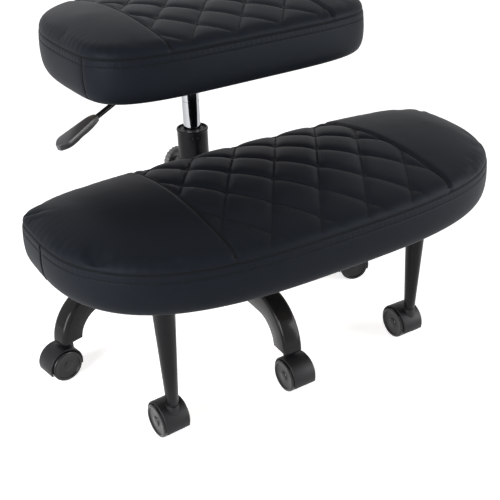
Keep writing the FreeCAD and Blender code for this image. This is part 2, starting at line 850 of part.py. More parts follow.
REST_BOLTS = four_corners("rest_bolt_pitch_x", "rest_bolt_pitch_y",
                          "-(plate_front + plate_back) / 2")
SEAT_BOLTS = four_corners("seat_bolt_pitch", "seat_bolt_pitch")


def build_rest_arm():
    """A rectangular tube from the collar with a plate welded on for the board."""
    low = f"{PLATE_BOTTOM} - beam_height"
    tube = box("beam_outer", "beam_width", "beam_end", "beam_height",
               x="-beam_width / 2", y="-beam_end", z=low)
    hollow = box("beam_inner", "beam_width - 2 * beam_wall", "beam_end - beam_wall",
                 "beam_height - 2 * beam_wall", x="beam_wall - beam_width / 2",
                 y="beam_wall - beam_end", z=f"{low} + beam_wall")
    plate = box("arm_plate", "plate_width", "plate_front - plate_back", "plate_thickness",
                x="-plate_width / 2", y="-plate_front", z=PLATE_BOTTOM)
    seat = cylinder("beam_root", COLLAR_RADIUS, "beam_height * 2", z=low)
    holes = bolt_holes("plate_holes", REST_BOLTS, PLATE_BOTTOM, "plate_thickness")
    welded = fused("arm_welded", [cut("beam_tube", tube, hollow), plate])
    finish(cut("rest_arm_shape", welded, seat, holes), "rest_arm")
    bolt = bolt_master("rest_bolt", PLATE_BOTTOM, "(plate_thickness + bolt_reach)")
    bolts = [instance(bolt, f"rest_bolt_{index}", x, y)
             for index, (x, y) in enumerate(REST_BOLTS)]
    finish(group("rest_bolts_group", *bolts), "rest_bolts")


def build_legs():
    """Tapered tube legs with a flange under the board and a stem socket at the foot."""
    top = "rest_bottom"
    under = "rest_bottom - leg_flange_height"
    foot = "leg_foot_diameter / 2"
    socket_top = f"{ARM_FOOT} + stem_rise + stem_end_gap"
    leg = turned("leg_master", [
        ("stem_diameter / 2", ARM_FOOT),
        (foot, ARM_FOOT),
        ("leg_top_diameter / 2", under),
        ("leg_flange_diameter / 2", under),
        ("leg_flange_diameter / 2", top),
        ("leg_top_diameter / 2 - leg_wall", top),
        (foot, f"{socket_top} + leg_wall"),
        ("0", f"{socket_top} + leg_wall"),
        ("0", socket_top),
        ("stem_diameter / 2", socket_top),
    ])
    finish(instance(leg, "leg_left_body", "-leg_x", "-leg_y"), "leg_left")
    finish(instance(leg, "leg_right_body", "leg_x", "-leg_y"), "leg_right")


# Cushions. Each rests on a plywood board let into its underside.

# Where a wing is cut across on its way from the panel seam to its end, closer near the end.
WING_STATIONS = [0, 0.3, 0.55, 0.75, 0.88, 0.96, 0.99, 0.9995]
# Points that a board's edge passes through.
BOARD_POINTS = 64


class Cushion:
    """The outline and sections of one cushion, read from the sheet."""

    def __init__(self, prefix):
        self.bottom = size(f"{prefix}_bottom")
        self.seam = self.bottom + size(f"{prefix}_seam_height")
        self.crown = size(f"{prefix}_crown")
        self.half = size(f"{prefix}_half_width")
        self.panel = size(f"{prefix}_panel")
        self.side = -size(f"{prefix}_side")
        self.front = -size(f"{prefix}_front") - self.side
        self.back = -size(f"{prefix}_back") - self.side
        self.front_power = size(f"{prefix}_front_power")
        self.back_power = size(f"{prefix}_back_power")

    def edges(self, across):
        """Front and back of the seam outline at a distance across."""
        share = abs(across) / self.half
        near = (1 - share ** self.front_power) ** (1 / self.front_power)
        far = (1 - share ** self.back_power) ** (1 / self.back_power)
        return self.side + self.front * near, self.side + self.back * far

    def crown_height(self, across):
        """Height of the crown's ridge, which falls off beyond the panel seams."""
        share = max(abs(across) - self.panel, 0) / (self.half - self.panel + size("end_rise"))
        return self.seam + self.crown * (1 - share ** size("crown_power")) ** size("crown_root")

    def shoulder(self, across):
        """Inset and height of the line where the crown turns down to the seam."""
        front, back = self.edges(across)
        inset = min(size("shoulder_inset"), size("shoulder_share") * (back - front))
        rise = (self.crown_height(across) - self.seam) / self.crown
        return inset, self.seam + size("shoulder_rise") * rise

    def section(self, across):
        """The closed outline cut across at one place: bottom, bulged sides and crown."""
        front, back = self.edges(across)
        inset, shoulder = self.shoulder(across)
        tuck = min(size("bottom_inset"), (back - front) / 4)
        low = self.bottom + size("bottom_lift") * (abs(across) / self.half) ** size("end_lift_power")
        middle = (low + self.seam) / 2
        bulge = size("side_bulge")
        bend = size("bend_inset_share") * inset
        bend_height = self.seam + size("bend_rise_share") * (shoulder - self.seam)
        ridge = Vector(across, (front + back) / 2, self.crown_height(across))

        def at(y, z):
            return Vector(across, y, z)

        corners = [at(front + tuck, low), at(front, self.seam), at(front + inset, shoulder),
                   at(back - inset, shoulder), at(back, self.seam), at(back - tuck, low)]
        between = [at(front - bulge, middle), at(front + bend, bend_height), ridge,
                   at(back - bend, bend_height), at(back + bulge, middle)]
        arcs = [Part.Arc(corners[index], between[index], corners[index + 1]).toShape()
                for index in range(5)]
        return Part.Wire(arcs + [Part.makeLine(corners[5], corners[0])])

    def seam_groove(self, across):
        """A round groove along the seam of the middle panel, which follows the crown."""
        radius = size("seam_radius")
        front, back = self.edges(across)
        inset, shoulder = self.shoulder(across)
        half_chord = (back - front) / 2 - inset
        fall = self.crown_height(across) - shoulder
        arch = (half_chord ** 2 + fall ** 2) / (2 * fall)
        ridge = Vector(across, (front + back) / 2, self.crown_height(across))
        centre = ridge - Vector(0, 0, arch)
        reach = math.asin(min(size("seam_overrun") * half_chord / arch, 1))
        orbit = arch + radius - size("seam_depth")
        start = centre + Vector(0, -orbit * math.sin(reach), orbit * math.cos(reach))
        heading = Vector(0, math.cos(reach), math.sin(reach))
        ring = Part.Face(Part.Wire(Part.makeCircle(radius, start, heading)))
        return ring.revolve(centre, Vector(-1, 0, 0), 2 * math.degrees(reach))

    def solid(self, board):
        """The whole cushion with its panel seams and the recess for its board."""
        panel = self.panel
        middle = Part.makeLoft([self.section(x) for x in (-panel, 0, panel)], True, False)
        wings = []
        for hand in (-1, 1):
            places = [hand * (panel + (self.half - panel) * share) for share in WING_STATIONS]
            wings.append(Part.makeLoft([self.section(x) for x in places], True, False))
        whole = middle.fuse(wings)
        seams = [self.seam_groove(x) for x in (-panel, panel)]
        below = board.copy()
        below.translate(Vector(0, 0, -size("board_thickness / 2")))
        return whole.cut(seams + [board.fuse(below)])

    def board(self):
        """The plywood board, inside the seam outline by its inset."""
        inset = size("board_inset")
        points = []
        for index in range(BOARD_POINTS):
            angle = 2 * math.pi * index / BOARD_POINTS
            deep = self.front + inset if math.sin(angle) < 0 else self.back - inset
            power = self.front_power if math.sin(angle) < 0 else self.back_power
            wide = abs(math.cos(angle)) ** (2 / power) * math.copysign(1, math.cos(angle))
            tall = abs(math.sin(angle)) ** (2 / power)
            points.append(Vector((self.half - inset) * wide, self.side + deep * tall, self.bottom))
        edge = Part.BSplineCurve()
        edge.interpolate(points, PeriodicFlag=True)
        face = Part.Face(Part.Wire(edge.toShape()))
        return face.extrude(Vector(0, 0, size("board_thickness")))


def build_rest_cushion():
    cushion = Cushion("rest")
    board = solid_feature("rest_board_blank", cushion.board())
    holes = bolt_holes("rest_board_holes", REST_BOLTS, "rest_bottom", "bolt_reach")
    finish(cut("rest_board_shape", board, holes), "rest_board")
    finish(solid_feature("rest_cushion_body", cushion.solid(cushion.board())), "rest_cushion")


def build_seat_cushion():
    cushion = Cushion("seat")
    blank = solid_feature("seat_board_blank", cushion.board())
    board = instance(blank, "seat_board_turned", turn="seat_turn")
    holes = bolt_holes("seat_board_holes", SEAT_BOLTS, "seat_bottom", "bolt_reach")
    turned_holes = instance(holes, "seat_holes_turned", turn="mechanism_turn")
    finish(cut("seat_board_shape", board, turned_holes), "seat_board")
    body = solid_feature("seat_cushion_blank", cushion.solid(cushion.board()))
    finish(instance(body, "seat_cushion_body", turn="seat_turn"), "seat_cushion")


# Seat mechanism. Its own frame has the lever along +X.

def build_seat_plate():
    """A plate with a pressed box below it, which holds the column's socket and the ears."""
    floor_top = f"{BOX_BOTTOM} + box_wall"
    plate = box("top_plate", "seat_plate_side", "seat_plate_side", "seat_plate_thickness",
                x="-seat_plate_side / 2", y="-seat_plate_side / 2",
                z="seat_bottom - seat_plate_thickness")
    shell = box("box_outer", "box_side", "box_side", "box_height",
                x="-box_side / 2", y="-box_side / 2", z=BOX_BOTTOM)
    inside = box("box_inner", "box_side - 2 * box_wall", "box_side - 2 * box_wall",
                 "box_height - box_wall", x="box_wall - box_side / 2",
                 y="box_wall - box_side / 2", z=floor_top)
    slot = box("box_slot", "box_wall * 3", "slot_width", "slot_height",
               x="box_side / 2 - box_wall * 2", y="-slot_width / 2",
               z=f"{LEVER_HEIGHT} - slot_height / 2")
    socket = cylinder("socket_outer", "socket_diameter / 2", "socket_length + box_wall",
                      z=f"{BOX_BOTTOM} - socket_length")
    bore = cylinder("socket_bore", "chrome_diameter / 2", "socket_length + box_wall * 2",
                    z=f"{BOX_BOTTOM} - socket_length")
    holes = bolt_holes("plate_bolt_holes", SEAT_BOLTS, "seat_bottom - seat_plate_thickness",
                       "seat_plate_thickness")
    ears = [box(f"ear_{side}", "eye_diameter", "ear_thickness", "ear_height",
                x="pivot_reach - eye_diameter / 2", y=y, z=floor_top)
            for side, y in (("a", "eye_width / 2 + face_gap"),
                            ("b", "-eye_width / 2 - face_gap - ear_thickness"))]
    pin_length = "(eye_width + 2 * face_gap + 2 * ear_thickness)"
    pin_hole = lying("ear_bore", "pivot_diameter / 2", pin_length, x="pivot_reach",
                     y=f"{pin_length} / 2", z=LEVER_HEIGHT)
    shape = cut("plate_shape", fused("plate_block", [cut("box_open", shell, inside), plate, socket]
                                     + ears), slot, bore, holes, pin_hole)
    finish(instance(shape, "seat_plate_body", turn="mechanism_turn"), "seat_plate")

    pin = lying("pivot_rod", "pivot_diameter / 2", pin_length, x="pivot_reach",
                y=f"{pin_length} / 2", z=LEVER_HEIGHT)
    finish(instance(pin, "lever_pivot_body", turn="mechanism_turn"), "lever_pivot")

    bolt = bolt_master("seat_bolt", "(seat_bottom - seat_plate_thickness)",
                       "(seat_plate_thickness + bolt_reach)")
    bolts = [instance(bolt, f"seat_bolt_{index}", x, y)
             for index, (x, y) in enumerate(SEAT_BOLTS)]
    finish(place(group("seat_bolts_group", *bolts), turn="mechanism_turn"), "seat_bolts")


def build_lever():
    """A bent rod with a pivot eye, and a moulded grip with finger scallops."""
    radius = size("lever_diameter / 2")
    slope = math.radians(size("lever_slope"))
    start = Vector(-size("lever_overlap"), 0, 0)
    corner = Vector(size("lever_bend_at"), 0, 0)
    down = Vector(math.cos(slope), 0, -math.sin(slope))
    end = corner + down * ((size("lever_length") - corner.x) / math.cos(slope))
    run_in = size("lever_bend_radius") * math.tan(slope / 2)
    first = corner - Vector(run_in, 0, 0)
    last = corner + down * run_in
    sag = size("lever_bend_radius") * (1 / math.cos(slope / 2) - 1)
    middle = corner + ((first - corner).normalize() + down).normalize() * sag
    path = Part.Wire([
        Part.makeLine(start, first),
        Part.Arc(first, middle, last).toShape(),
        Part.makeLine(last, end),
    ])
    profile = Part.Wire(Part.makeCircle(radius, start, Vector(1, 0, 0)))
    rod = path.makePipeShell([profile], True, False)
    across = Vector(0, 1, 0)
    pivot = Vector(size("pivot_reach"), -size("eye_width / 2"), 0)
    eye = Part.makeCylinder(size("eye_diameter / 2"), size("eye_width"), pivot, across)
    hole = Part.makeCylinder(size("pivot_diameter / 2 + running_clearance"), size("eye_width"),
                             pivot, across)
    rod = solid_feature("lever_rod_blank", rod.fuse(eye).cut(hole))
    finish(instance(rod, "lever_rod_body", z=LEVER_HEIGHT, turn="mechanism_turn"), "lever_rod")

    grip = solid_feature("lever_grip_blank", grip_shape(corner, down, math.degrees(slope), end))
    finish(instance(grip, "lever_grip_body", z=LEVER_HEIGHT, turn="mechanism_turn"), "lever_grip")


def grip_shape(corner, down, slope, rod_end):
    """The paddle, made level along +X and then tilted onto the rod."""
    neck = size("grip_neck_width / 2")
    broad = size("grip_tip_width / 2")
    length = size("grip_length")
    thick = size("grip_thickness")
    far = length - broad
    lean = math.asin((broad - neck) / (far - neck))
    side = Vector(-math.sin(lean), math.cos(lean), 0)
    flip = Vector(side.x, -side.y, 0)
    near_middle = Vector(neck, 0, 0)
    far_middle = Vector(far, 0, 0)
    outline_wire = Part.Wire([
        Part.makeLine(near_middle + side * neck, far_middle + side * broad),
        Part.Arc(far_middle + side * broad, Vector(length, 0, 0), far_middle + flip * broad).toShape(),
        Part.makeLine(far_middle + flip * broad, near_middle + flip * neck),
        Part.Arc(near_middle + flip * neck, Vector(0, 0, 0), near_middle + side * neck).toShape(),
    ])
    paddle = Part.Face(outline_wire).extrude(Vector(0, 0, thick))
    paddle = paddle.makeFillet(size("grip_edge_radius"), paddle.Edges)
    paddle.translate(Vector(0, 0, -thick / 2))
    radius = size("scallop_radius")
    scallops = []
    for index in range(int(size("scallops"))):
        middle = length - broad - index * size("scallop_pitch")
        under = Vector(middle, -broad * 2, size("scallop_depth") - radius - thick / 2)
        scallops.append(Part.makeCylinder(radius, broad * 4, under, Vector(0, 1, 0)))
    start = corner + down * ((size("grip_start") - corner.x) / math.cos(math.radians(slope)))
    bore = Part.makeCylinder(size("lever_diameter / 2"), (rod_end - start).Length,
                             Vector(0, 0, 0), Vector(1, 0, 0))
    paddle = paddle.cut(scallops + [bore])
    paddle.rotate(Vector(0, 0, 0), Vector(0, 1, 0), slope)
    paddle.translate(start)
    return paddle


build_gas_tube()
build_guide_bushing()
build_lift_rod()
build_chrome_column()
build_hub()
build_arms()
build_casters()
build_collar()
build_knob()
build_rest_arm()
build_legs()
build_rest_cushion()
build_seat_cushion()
build_seat_plate()
build_lever()
doc.recompute()

for feature in doc.Objects:
    if "Invalid" in feature.State or "Error" in feature.State:
        raise RuntimeError(f"{feature.Name} failed: {feature.State}")
for feature in parts:
    shape = feature.Shape
    if shape.isNull() or not shape.isValid():
        raise RuntimeError(f"{feature.Label} has no valid shape")

os.makedirs("parts", exist_ok=True)
for feature in parts:
    feature.Shape.exportStep(f"parts/{feature.Label}.step")
print(len(parts), "nodes")
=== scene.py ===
import logging
import math
from collections.abc import Callable, Sequence
from dataclasses import dataclass
from enum import Enum

import bmesh
import bpy
import numpy as np
from mathutils import Matrix, Vector
from mathutils.bvhtree import BVHTree


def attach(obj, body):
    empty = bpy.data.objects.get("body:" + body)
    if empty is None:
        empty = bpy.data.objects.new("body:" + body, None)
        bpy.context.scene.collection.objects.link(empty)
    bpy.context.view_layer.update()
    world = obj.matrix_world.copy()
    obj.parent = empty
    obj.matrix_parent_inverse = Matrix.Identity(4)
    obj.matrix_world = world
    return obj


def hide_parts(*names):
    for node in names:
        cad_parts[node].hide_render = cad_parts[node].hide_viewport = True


# A kneeling stool: a quilted swivel seat on a gas lift and a five-arm caster base, with a
# wide quilted rest that swings round the column on two legs. Sizes are in millimetres, in
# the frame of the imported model, and Bench turns them into metres.

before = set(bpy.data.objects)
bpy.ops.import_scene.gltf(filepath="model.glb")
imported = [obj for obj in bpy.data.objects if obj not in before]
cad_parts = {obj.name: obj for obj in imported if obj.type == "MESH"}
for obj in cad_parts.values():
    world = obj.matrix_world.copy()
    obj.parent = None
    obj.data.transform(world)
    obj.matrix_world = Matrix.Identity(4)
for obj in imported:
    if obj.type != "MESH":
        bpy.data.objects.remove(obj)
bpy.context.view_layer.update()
log = logging.getLogger("stool")

MM = 0.001
UP = Vector((0, 0, 1))
FULL_TURN = 2 * math.pi
CRISP_ANGLE = 35.0
SOFT_ANGLE = 80.0
# How far off a face may be when it is picked, in its place or its unit normal.
FACE_TOLERANCE = 0.1
WELD_DISTANCE = MM / 1000

Piece = bpy.types.Object
Socket = bpy.types.NodeSocket
Colour = tuple[float, float, float]
Pairs = tuple[tuple[float, float], ...]
# Places in millimetres, each with the way to throw it or with the skin's normal there.
Line = list[tuple[Vector, Vector]]


class Grain(Enum):
    """The fine relief of a surface."""

    PEBBLE = "pebble"
    ORANGE_PEEL = "orange_peel"
    PLY = "ply"
    TURNED = "turned"


class Bench:
    """Modelling operators on one mesh at a time, with places in millimetres."""

    @staticmethod
    def take(piece: Piece | None = None) -> None:
        """Leave edit mode, and make one piece, or none, the only one selected."""
        if bpy.context.mode != "OBJECT":
            bpy.ops.object.mode_set(mode="OBJECT")
        bpy.ops.object.select_all(action="DESELECT")
        if piece:
            piece.select_set(True)
            bpy.context.view_layer.objects.active = piece

    @staticmethod
    def edit(piece: Piece) -> None:
        """Open a piece in edit mode with all its corners selected."""
        Bench.take(piece)
        bpy.ops.object.mode_set(mode="EDIT")
        bpy.ops.mesh.select_mode(type="VERT")
        bpy.ops.mesh.select_all(action="SELECT")

    @staticmethod
    def choose(test: Callable[[Vector, Vector], bool]) -> None:
        """Select faces in edit mode.

        Args:
            test: says of a face's middle in millimetres and its normal whether to pick it.
        """
        bpy.ops.mesh.select_mode(type="FACE")
        bpy.ops.mesh.select_all(action="DESELECT")
        mesh = bmesh.from_edit_mesh(bpy.context.edit_object.data)
        for face in mesh.faces:
            if test(face.calc_center_median() / MM, face.normal):
                face.select_set(True)
        mesh.select_flush_mode()
        bmesh.update_edit_mesh(bpy.context.edit_object.data)

    @staticmethod
    def extrude(x: float = 0, y: float = 0, z: float = 0) -> None:
        """Extrude what is selected by a shift in millimetres."""
        shift = Vector((x, y, z)) * MM
        bpy.ops.mesh.extrude_region_move(TRANSFORM_OT_translate={"value": shift})

    @staticmethod
    def strip(points: Sequence[Sequence[float]]) -> Piece:
        """Draw a line of edges: a small plate is merged to a corner, which is then extruded.

        Args:
            points: the places of its corners.

        Returns:
            The piece, left in edit mode with everything selected.
        """
        Bench.take()
        places = [Vector(point) * MM for point in points]
        bpy.ops.mesh.primitive_plane_add(size=MM)
        piece = bpy.context.object
        Bench.edit(piece)
        bpy.ops.mesh.merge(type="CENTER")
        bpy.ops.transform.translate(value=places[0])
        for start, end in zip(places, places[1:]):
            bpy.ops.mesh.extrude_vertices_move(TRANSFORM_OT_translate={"value": end - start})
        bpy.ops.mesh.select_all(action="SELECT")
        return piece

    @staticmethod
    def cap(piece: Piece) -> Piece:
        """Merge doubles, fill the open ends of a run and close the piece."""
        bpy.ops.mesh.select_all(action="SELECT")
        bpy.ops.mesh.remove_doubles(threshold=WELD_DISTANCE)
        bpy.ops.mesh.fill_holes(sides=0)
        return Bench.close(piece)

    @staticmethod
    def close(piece: Piece) -> Piece:
        """Merge doubles, drop loose edges, turn the faces outwards and leave edit mode."""
        bpy.ops.mesh.select_all(action="SELECT")
        bpy.ops.mesh.remove_doubles(threshold=WELD_DISTANCE)
        bpy.ops.mesh.delete_loose(use_verts=True, use_edges=True, use_faces=False)
        bpy.ops.mesh.select_all(action="SELECT")
        bpy.ops.mesh.normals_make_consistent(inside=False)
        bpy.ops.object.mode_set(mode="OBJECT")
        return piece

    @staticmethod
    def cut_below(height: float, fill: bool) -> None:
        """Cut away what lies below a height, and fill the cut or leave it open."""
        bpy.ops.mesh.select_all(action="SELECT")
        bpy.ops.mesh.bisect(plane_co=(0, 0, height * MM), plane_no=(0, 0, 1), clear_inner=True,
                            use_fill=fill)

    @staticmethod
    def lathe(profile: Sequence[tuple[float, float]], steps: int) -> Piece:
        """Turn a profile of radius and height about the Z axis.

        Args:
            profile: its corners. It is closed, or starts and ends on the axis.
            steps: faces round the turn.

        Returns:
            The closed piece, in object mode.
        """
        piece = Bench.strip([(radius, 0, height) for radius, height in profile])
        bpy.ops.mesh.spin(steps=steps, angle=FULL_TURN, center=(0, 0, 0), axis=(0, 0, 1))
        return Bench.close(piece)

    @staticmethod
    def ring(bore: float, radius: float, low: float, high: float, steps: int) -> Piece:
        """Turn a plain ring about the Z axis."""
        return Bench.lathe([(bore, low), (radius, low), (radius, high), (bore, high),
                            (bore, low)], steps)

    @staticmethod
    def pin(radius: float, low: float, high: float, foot: float, head: float,
            steps: int) -> Piece:
        """Turn a solid pin about the Z axis.

        Args:
            radius: its radius.
            low: the height of its lower end.
            high: the height of its upper end.
            foot: the chamfer of its lower end, or 0.
            head: the chamfer of its upper end, or 0.
            steps: faces round the turn.

        Returns:
            The closed piece, in object mode.
        """
        profile = [(0, low), (radius - foot, low)] + [(radius, low + foot)] * bool(foot)
        profile += [(radius, high - head)] + [(radius - head, high)] * bool(head) + [(0, high)]
        return Bench.lathe(profile, steps)

    @staticmethod
    def from_corners(name: str, corners: Sequence, faces: Sequence) -> Piece:
        """Make a closed piece of corners in metres and faces."""
        mesh = bpy.data.meshes.new(name)
        mesh.from_pydata(corners, [], faces)
        piece = bpy.data.objects.new(name, mesh)
        bpy.context.scene.collection.objects.link(piece)
        Bench.edit(piece)
        return Bench.close(piece)

    @staticmethod
    def apply(piece: Piece, kind: str, **settings: object) -> None:
        """Add a modifier, set it up and apply it."""
        Bench.take(piece)
        modifier = piece.modifiers.new(kind.lower(), kind)
        for name, value in settings.items():
            setattr(modifier, name, value)
        bpy.ops.object.modifier_apply(modifier=modifier.name)

    @staticmethod
    def round_off(piece: Piece, width: float, segments: int = 2,
                  angle: float = CRISP_ANGLE) -> None:
        """Round every edge sharper than an angle in degrees."""
        Bench.apply(piece, "BEVEL", width=width * MM, segments=segments, limit_method="ANGLE",
                    angle_limit=math.radians(angle), use_clamp_overlap=True)

    @staticmethod
    def join(piece: Piece, *others: Piece) -> Piece:
        """Make separate shells one piece."""
        Bench.take(piece)
        for other in others:
            other.select_set(True)
        bpy.ops.object.join()
        return piece

    @staticmethod
    def move(piece: Piece, x: float = 0, y: float = 0, z: float = 0,
             turn: float = 0, lean: float = 0, roll: float = 0) -> Piece:
        """Place the mesh: roll about X, lean about Y, turn about Z, in degrees, then shift."""
        matrix = Matrix.Translation(Vector((x, y, z)) * MM)
        for angle, axis in ((turn, "Z"), (lean, "Y"), (roll, "X")):
            matrix = matrix @ Matrix.Rotation(math.radians(angle), 4, axis)
        piece.data.transform(matrix)
        return piece

    @staticmethod
    def copy(piece: Piece) -> Piece:
        """The piece once more, with its own mesh."""
        twin = piece.copy()
        twin.data = piece.data.copy()
        bpy.context.scene.collection.objects.link(twin)
        return twin

    @staticmethod
    def reshape(piece: Piece, change: Callable[[Vector], Vector]) -> None:
        """Move each corner to where a rule puts it."""
        for vertex in piece.data.vertices:
            vertex.co = change(vertex.co / MM) * MM
        piece.data.update()


class Nodes:
    """The node tree of one material or world, with a short way to add and join nodes."""

    def __init__(self, owner: bpy.types.ID) -> None:
        """Empty the tree of a material or world."""
        owner.use_nodes = True
        self.tree = owner.node_tree
        self.tree.nodes.clear()

    def add(self, kind: str, settings: dict | None = None, **inputs: object) -> bpy.types.Node:
        """Add a node.

        Args:
            kind: the node's type without its ShaderNode prefix.
            settings: properties of the node itself.
            **inputs: values of its sockets, or sockets to join to them. A name has _ for a
                space, and _ before a number gives a socket by its place.

        Returns:
            The node.
        """
        node = self.tree.nodes.new("ShaderNode" + kind)
        for name, value in (settings or {}).items():
            setattr(node, name, value)
        for name, value in inputs.items():
            key = int(name[1:]) if name[1:].isdigit() else name.replace("_", " ")
            if isinstance(value, Socket):
                self.tree.links.new(value, node.inputs[key])
            else:
                node.inputs[key].default_value = value
        return node


@dataclass(frozen=True)
class Finish:
    """A surface: its two close colours, its gloss and its fine relief, in millimetres."""

    name: str
    colour: Colour
    other_colour: Colour
    slot: str
    metallic: float = 0.0
    roughness: float = 0.5
    roughness_swing: float = 0.06
    specular: float = 0.5
    tint: Colour = (1.0, 1.0, 1.0)
    coat: float = 0.0
    coat_roughness: float = 0.1
    patch: float = 30.0
    grain: Grain = Grain.ORANGE_PEEL
    grain_size: float = 1.0
    grain_height: float = 0.02

    def relief(self, nodes: Nodes, place: Socket) -> Socket:
        """The height of the fine relief, from 0 to 1.

        Args:
            nodes: the material's nodes.
            place: object coordinates.

        Returns:
            The socket that gives it.
        """
        scale = 1 / (self.grain_size * MM)
        if self.grain is Grain.PEBBLE:
            cells = nodes.add("TexVoronoi", {"feature": "SMOOTH_F1"}, Vector=place,
                              Scale=scale, Smoothness=0.6)
            pores = nodes.add("TexNoise", Vector=place, Scale=scale / 2, Detail=3.0)
            return nodes.add("Math", {"operation": "ADD"}, _0=cells.outputs["Distance"],
                             _1=pores.outputs[0]).outputs[0]
        if self.grain is Grain.ORANGE_PEEL:
            return nodes.add("TexNoise", Vector=place, Scale=scale, Detail=2.0).outputs[0]
        distortion = 1.5 if self.grain is Grain.PLY else 0.4
        return nodes.add("TexWave", {"bands_direction": "Z"}, Vector=place, Scale=scale,
                         Distortion=distortion, Detail=2.0).outputs["Fac"]

    def build(self) -> bpy.types.Material:
        """Make the material."""
        material = bpy.data.materials.new(self.name)
        nodes = Nodes(material)
        place = nodes.add("TexCoord").outputs["Object"]
        patches = nodes.add("TexNoise", Vector=place, Scale=1 / (self.patch * MM), Detail=5.0,
                            Roughness=0.6).outputs[0]
        colour = nodes.add("Mix", {"data_type": "RGBA"}, _0=patches, _6=(*self.colour, 1),
                           _7=(*self.other_colour, 1)).outputs[2]
        roughness = nodes.add("MapRange", Value=patches,
                              To_Min=self.roughness - self.roughness_swing,
                              To_Max=self.roughness + self.roughness_swing).outputs["Result"]
        bump = nodes.add("Bump", Strength=0.8, Distance=self.grain_height * MM,
                         Height=self.relief(nodes, place))
        shader = nodes.add("BsdfPrincipled", Base_Color=colour, Roughness=roughness,
                           Metallic=self.metallic, Specular_IOR_Level=self.specular,
                           Specular_Tint=(*self.tint, 1), Coat_Weight=self.coat,
                           Coat_Roughness=self.coat_roughness, Normal=bump.outputs[0])
        nodes.add("OutputMaterial", Surface=shader.outputs[0])
        return material


LEATHER = Finish("black_leather", (0.0066, 0.0079, 0.0106), (0.0094, 0.011, 0.0144),
                 "black_leather", roughness=0.48, specular=0.05, tint=(0.78, 0.88, 1.0),
                 patch=45, grain=Grain.PEBBLE, grain_size=1.1, grain_height=0.035)
# Black thread for the stitches. The same near-black also colours the unbroken seam cords, which are
# painted shade in the seams' creases.
THREAD_AND_SEAM_SHADE = Finish("thread_and_seam_shade", (0.0012, 0.0012, 0.0014), (0.0022, 0.0022, 0.0024),
                     "black_leather", roughness=0.8, specular=0.15, patch=3, grain_size=0.3,
                     grain_height=0.05)
ENAMEL = Finish("gloss_black_enamel", (0.006, 0.006, 0.0065), (0.009, 0.009, 0.0095),
                "black_steel", roughness=0.2, specular=0.12, coat=0.08, coat_roughness=0.06,
                patch=60, grain_size=2.5)
SATIN = Finish("satin_black_coat", (0.0035, 0.0038, 0.0045), (0.0055, 0.0058, 0.0066),
               "satin_steel", roughness=0.3, specular=0.12, patch=40, grain_size=0.6,
               grain_height=0.015)
CHROME = Finish("chrome_plate", (0.4, 0.41, 0.43), (0.34, 0.35, 0.37), "chrome",
                metallic=1.0, roughness=0.07, roughness_swing=0.02, patch=50,
                grain=Grain.TURNED, grain_size=1.5, grain_height=0.001)
STEEL = Finish("bright_steel", (0.5, 0.5, 0.5), (0.42, 0.42, 0.43), "bare_steel",
               metallic=1.0, roughness=0.3, patch=8, grain=Grain.TURNED, grain_size=0.5,
               grain_height=0.01)
HOOD_PLASTIC = Finish("matte_black_plastic", (0.0055, 0.006, 0.007),
                      (0.0085, 0.009, 0.0102), "black_plastic", roughness=0.46,
                      specular=0.22, patch=20, grain_size=0.5, grain_height=0.03)
WHEEL_PLASTIC = Finish("gloss_black_plastic", (0.0045, 0.0048, 0.0056),
                       (0.0065, 0.0069, 0.0078), "wheel_plastic", roughness=0.26,
                       specular=0.3, patch=25, grain_size=1.6)
LEVER_PLASTIC = Finish("lever_plastic", (0.03, 0.031, 0.033), (0.04, 0.041, 0.044),
                       "black_plastic", roughness=0.36, patch=15, grain_size=0.5)
GREY_PLASTIC = Finish("grey_plastic", (0.085, 0.086, 0.09), (0.11, 0.111, 0.115),
                      "grey_plastic", roughness=0.45, patch=12, grain_size=0.5,
                      grain_height=0.03)
NYLON = Finish("black_nylon", (0.011, 0.011, 0.012), (0.017, 0.017, 0.018), "nylon",
               roughness=0.55, patch=10, grain_size=0.4)
PLYWOOD = Finish("birch_ply", (0.5, 0.35, 0.2), (0.4, 0.27, 0.15), "plywood",
                 roughness=0.7, patch=25, grain=Grain.PLY, grain_size=3.0, grain_height=0.1)


class Wardrobe:
    """Materials by finish, made once, and the last steps that every piece goes through."""

    def __init__(self) -> None:
        """Start with no material made."""
        self.made: dict[str, bpy.types.Material] = {}

    def material(self, finish: Finish) -> bpy.types.Material:
        """The material of a finish, made on first use."""
        if finish.name not in self.made:
            self.made[finish.name] = finish.build()
        return self.made[finish.name]

    def dress(self, finish: Finish, *nodes: str) -> None:
        """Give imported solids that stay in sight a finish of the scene."""
        for node in nodes:
            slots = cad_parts[node].data.materials
            slots.clear()
            slots.append(self.material(finish))

    def hand_over(self, piece: Piece, name: str, body: str, finish: Finish,
                  replaces: Sequence[str] = (), angle: float = CRISP_ANGLE) -> None:
        """Name, dress and attach a modelled piece.

        Args:
            piece: the piece, with its place in its mesh.
            name: its name in the scene.
            body: the body that it rides on.
            finish: its surface.
            replaces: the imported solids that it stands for.
            angle: edges sharper than this, in degrees, stay crisp.
        """
        piece.name = piece.data.name = name
        piece.data.materials.clear()
        piece.data.materials.append(self.material(finish))
        Bench.take(piece)
        bpy.ops.object.shade_smooth_by_angle(angle=math.radians(angle))
        Bench.take()
        if replaces:
            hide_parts(*replaces)
        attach(piece, body)
        log.info("%s: %d faces on %s", name, len(piece.data.polygons), body)


@dataclass(frozen=True)
class Teeth:
    """Even teeth or ribs round the Z axis. Each takes some of the faces of its pitch."""

    count: int
    faces_each: int = 6
    faces_taken: int = 2

    @property
    def steps(self) -> int:
        """Faces round the turn that they are cut from."""
        return self.count * self.faces_each

    def hit(self, place: Vector, radius: float) -> bool:
        """Whether a place lies on a tooth and outside a radius."""
        share = math.degrees(math.atan2(place.y, place.x)) / 360 * self.count % 1
        outside = math.hypot(place.x, place.y) > radius
        return outside and share < self.faces_taken / self.faces_each


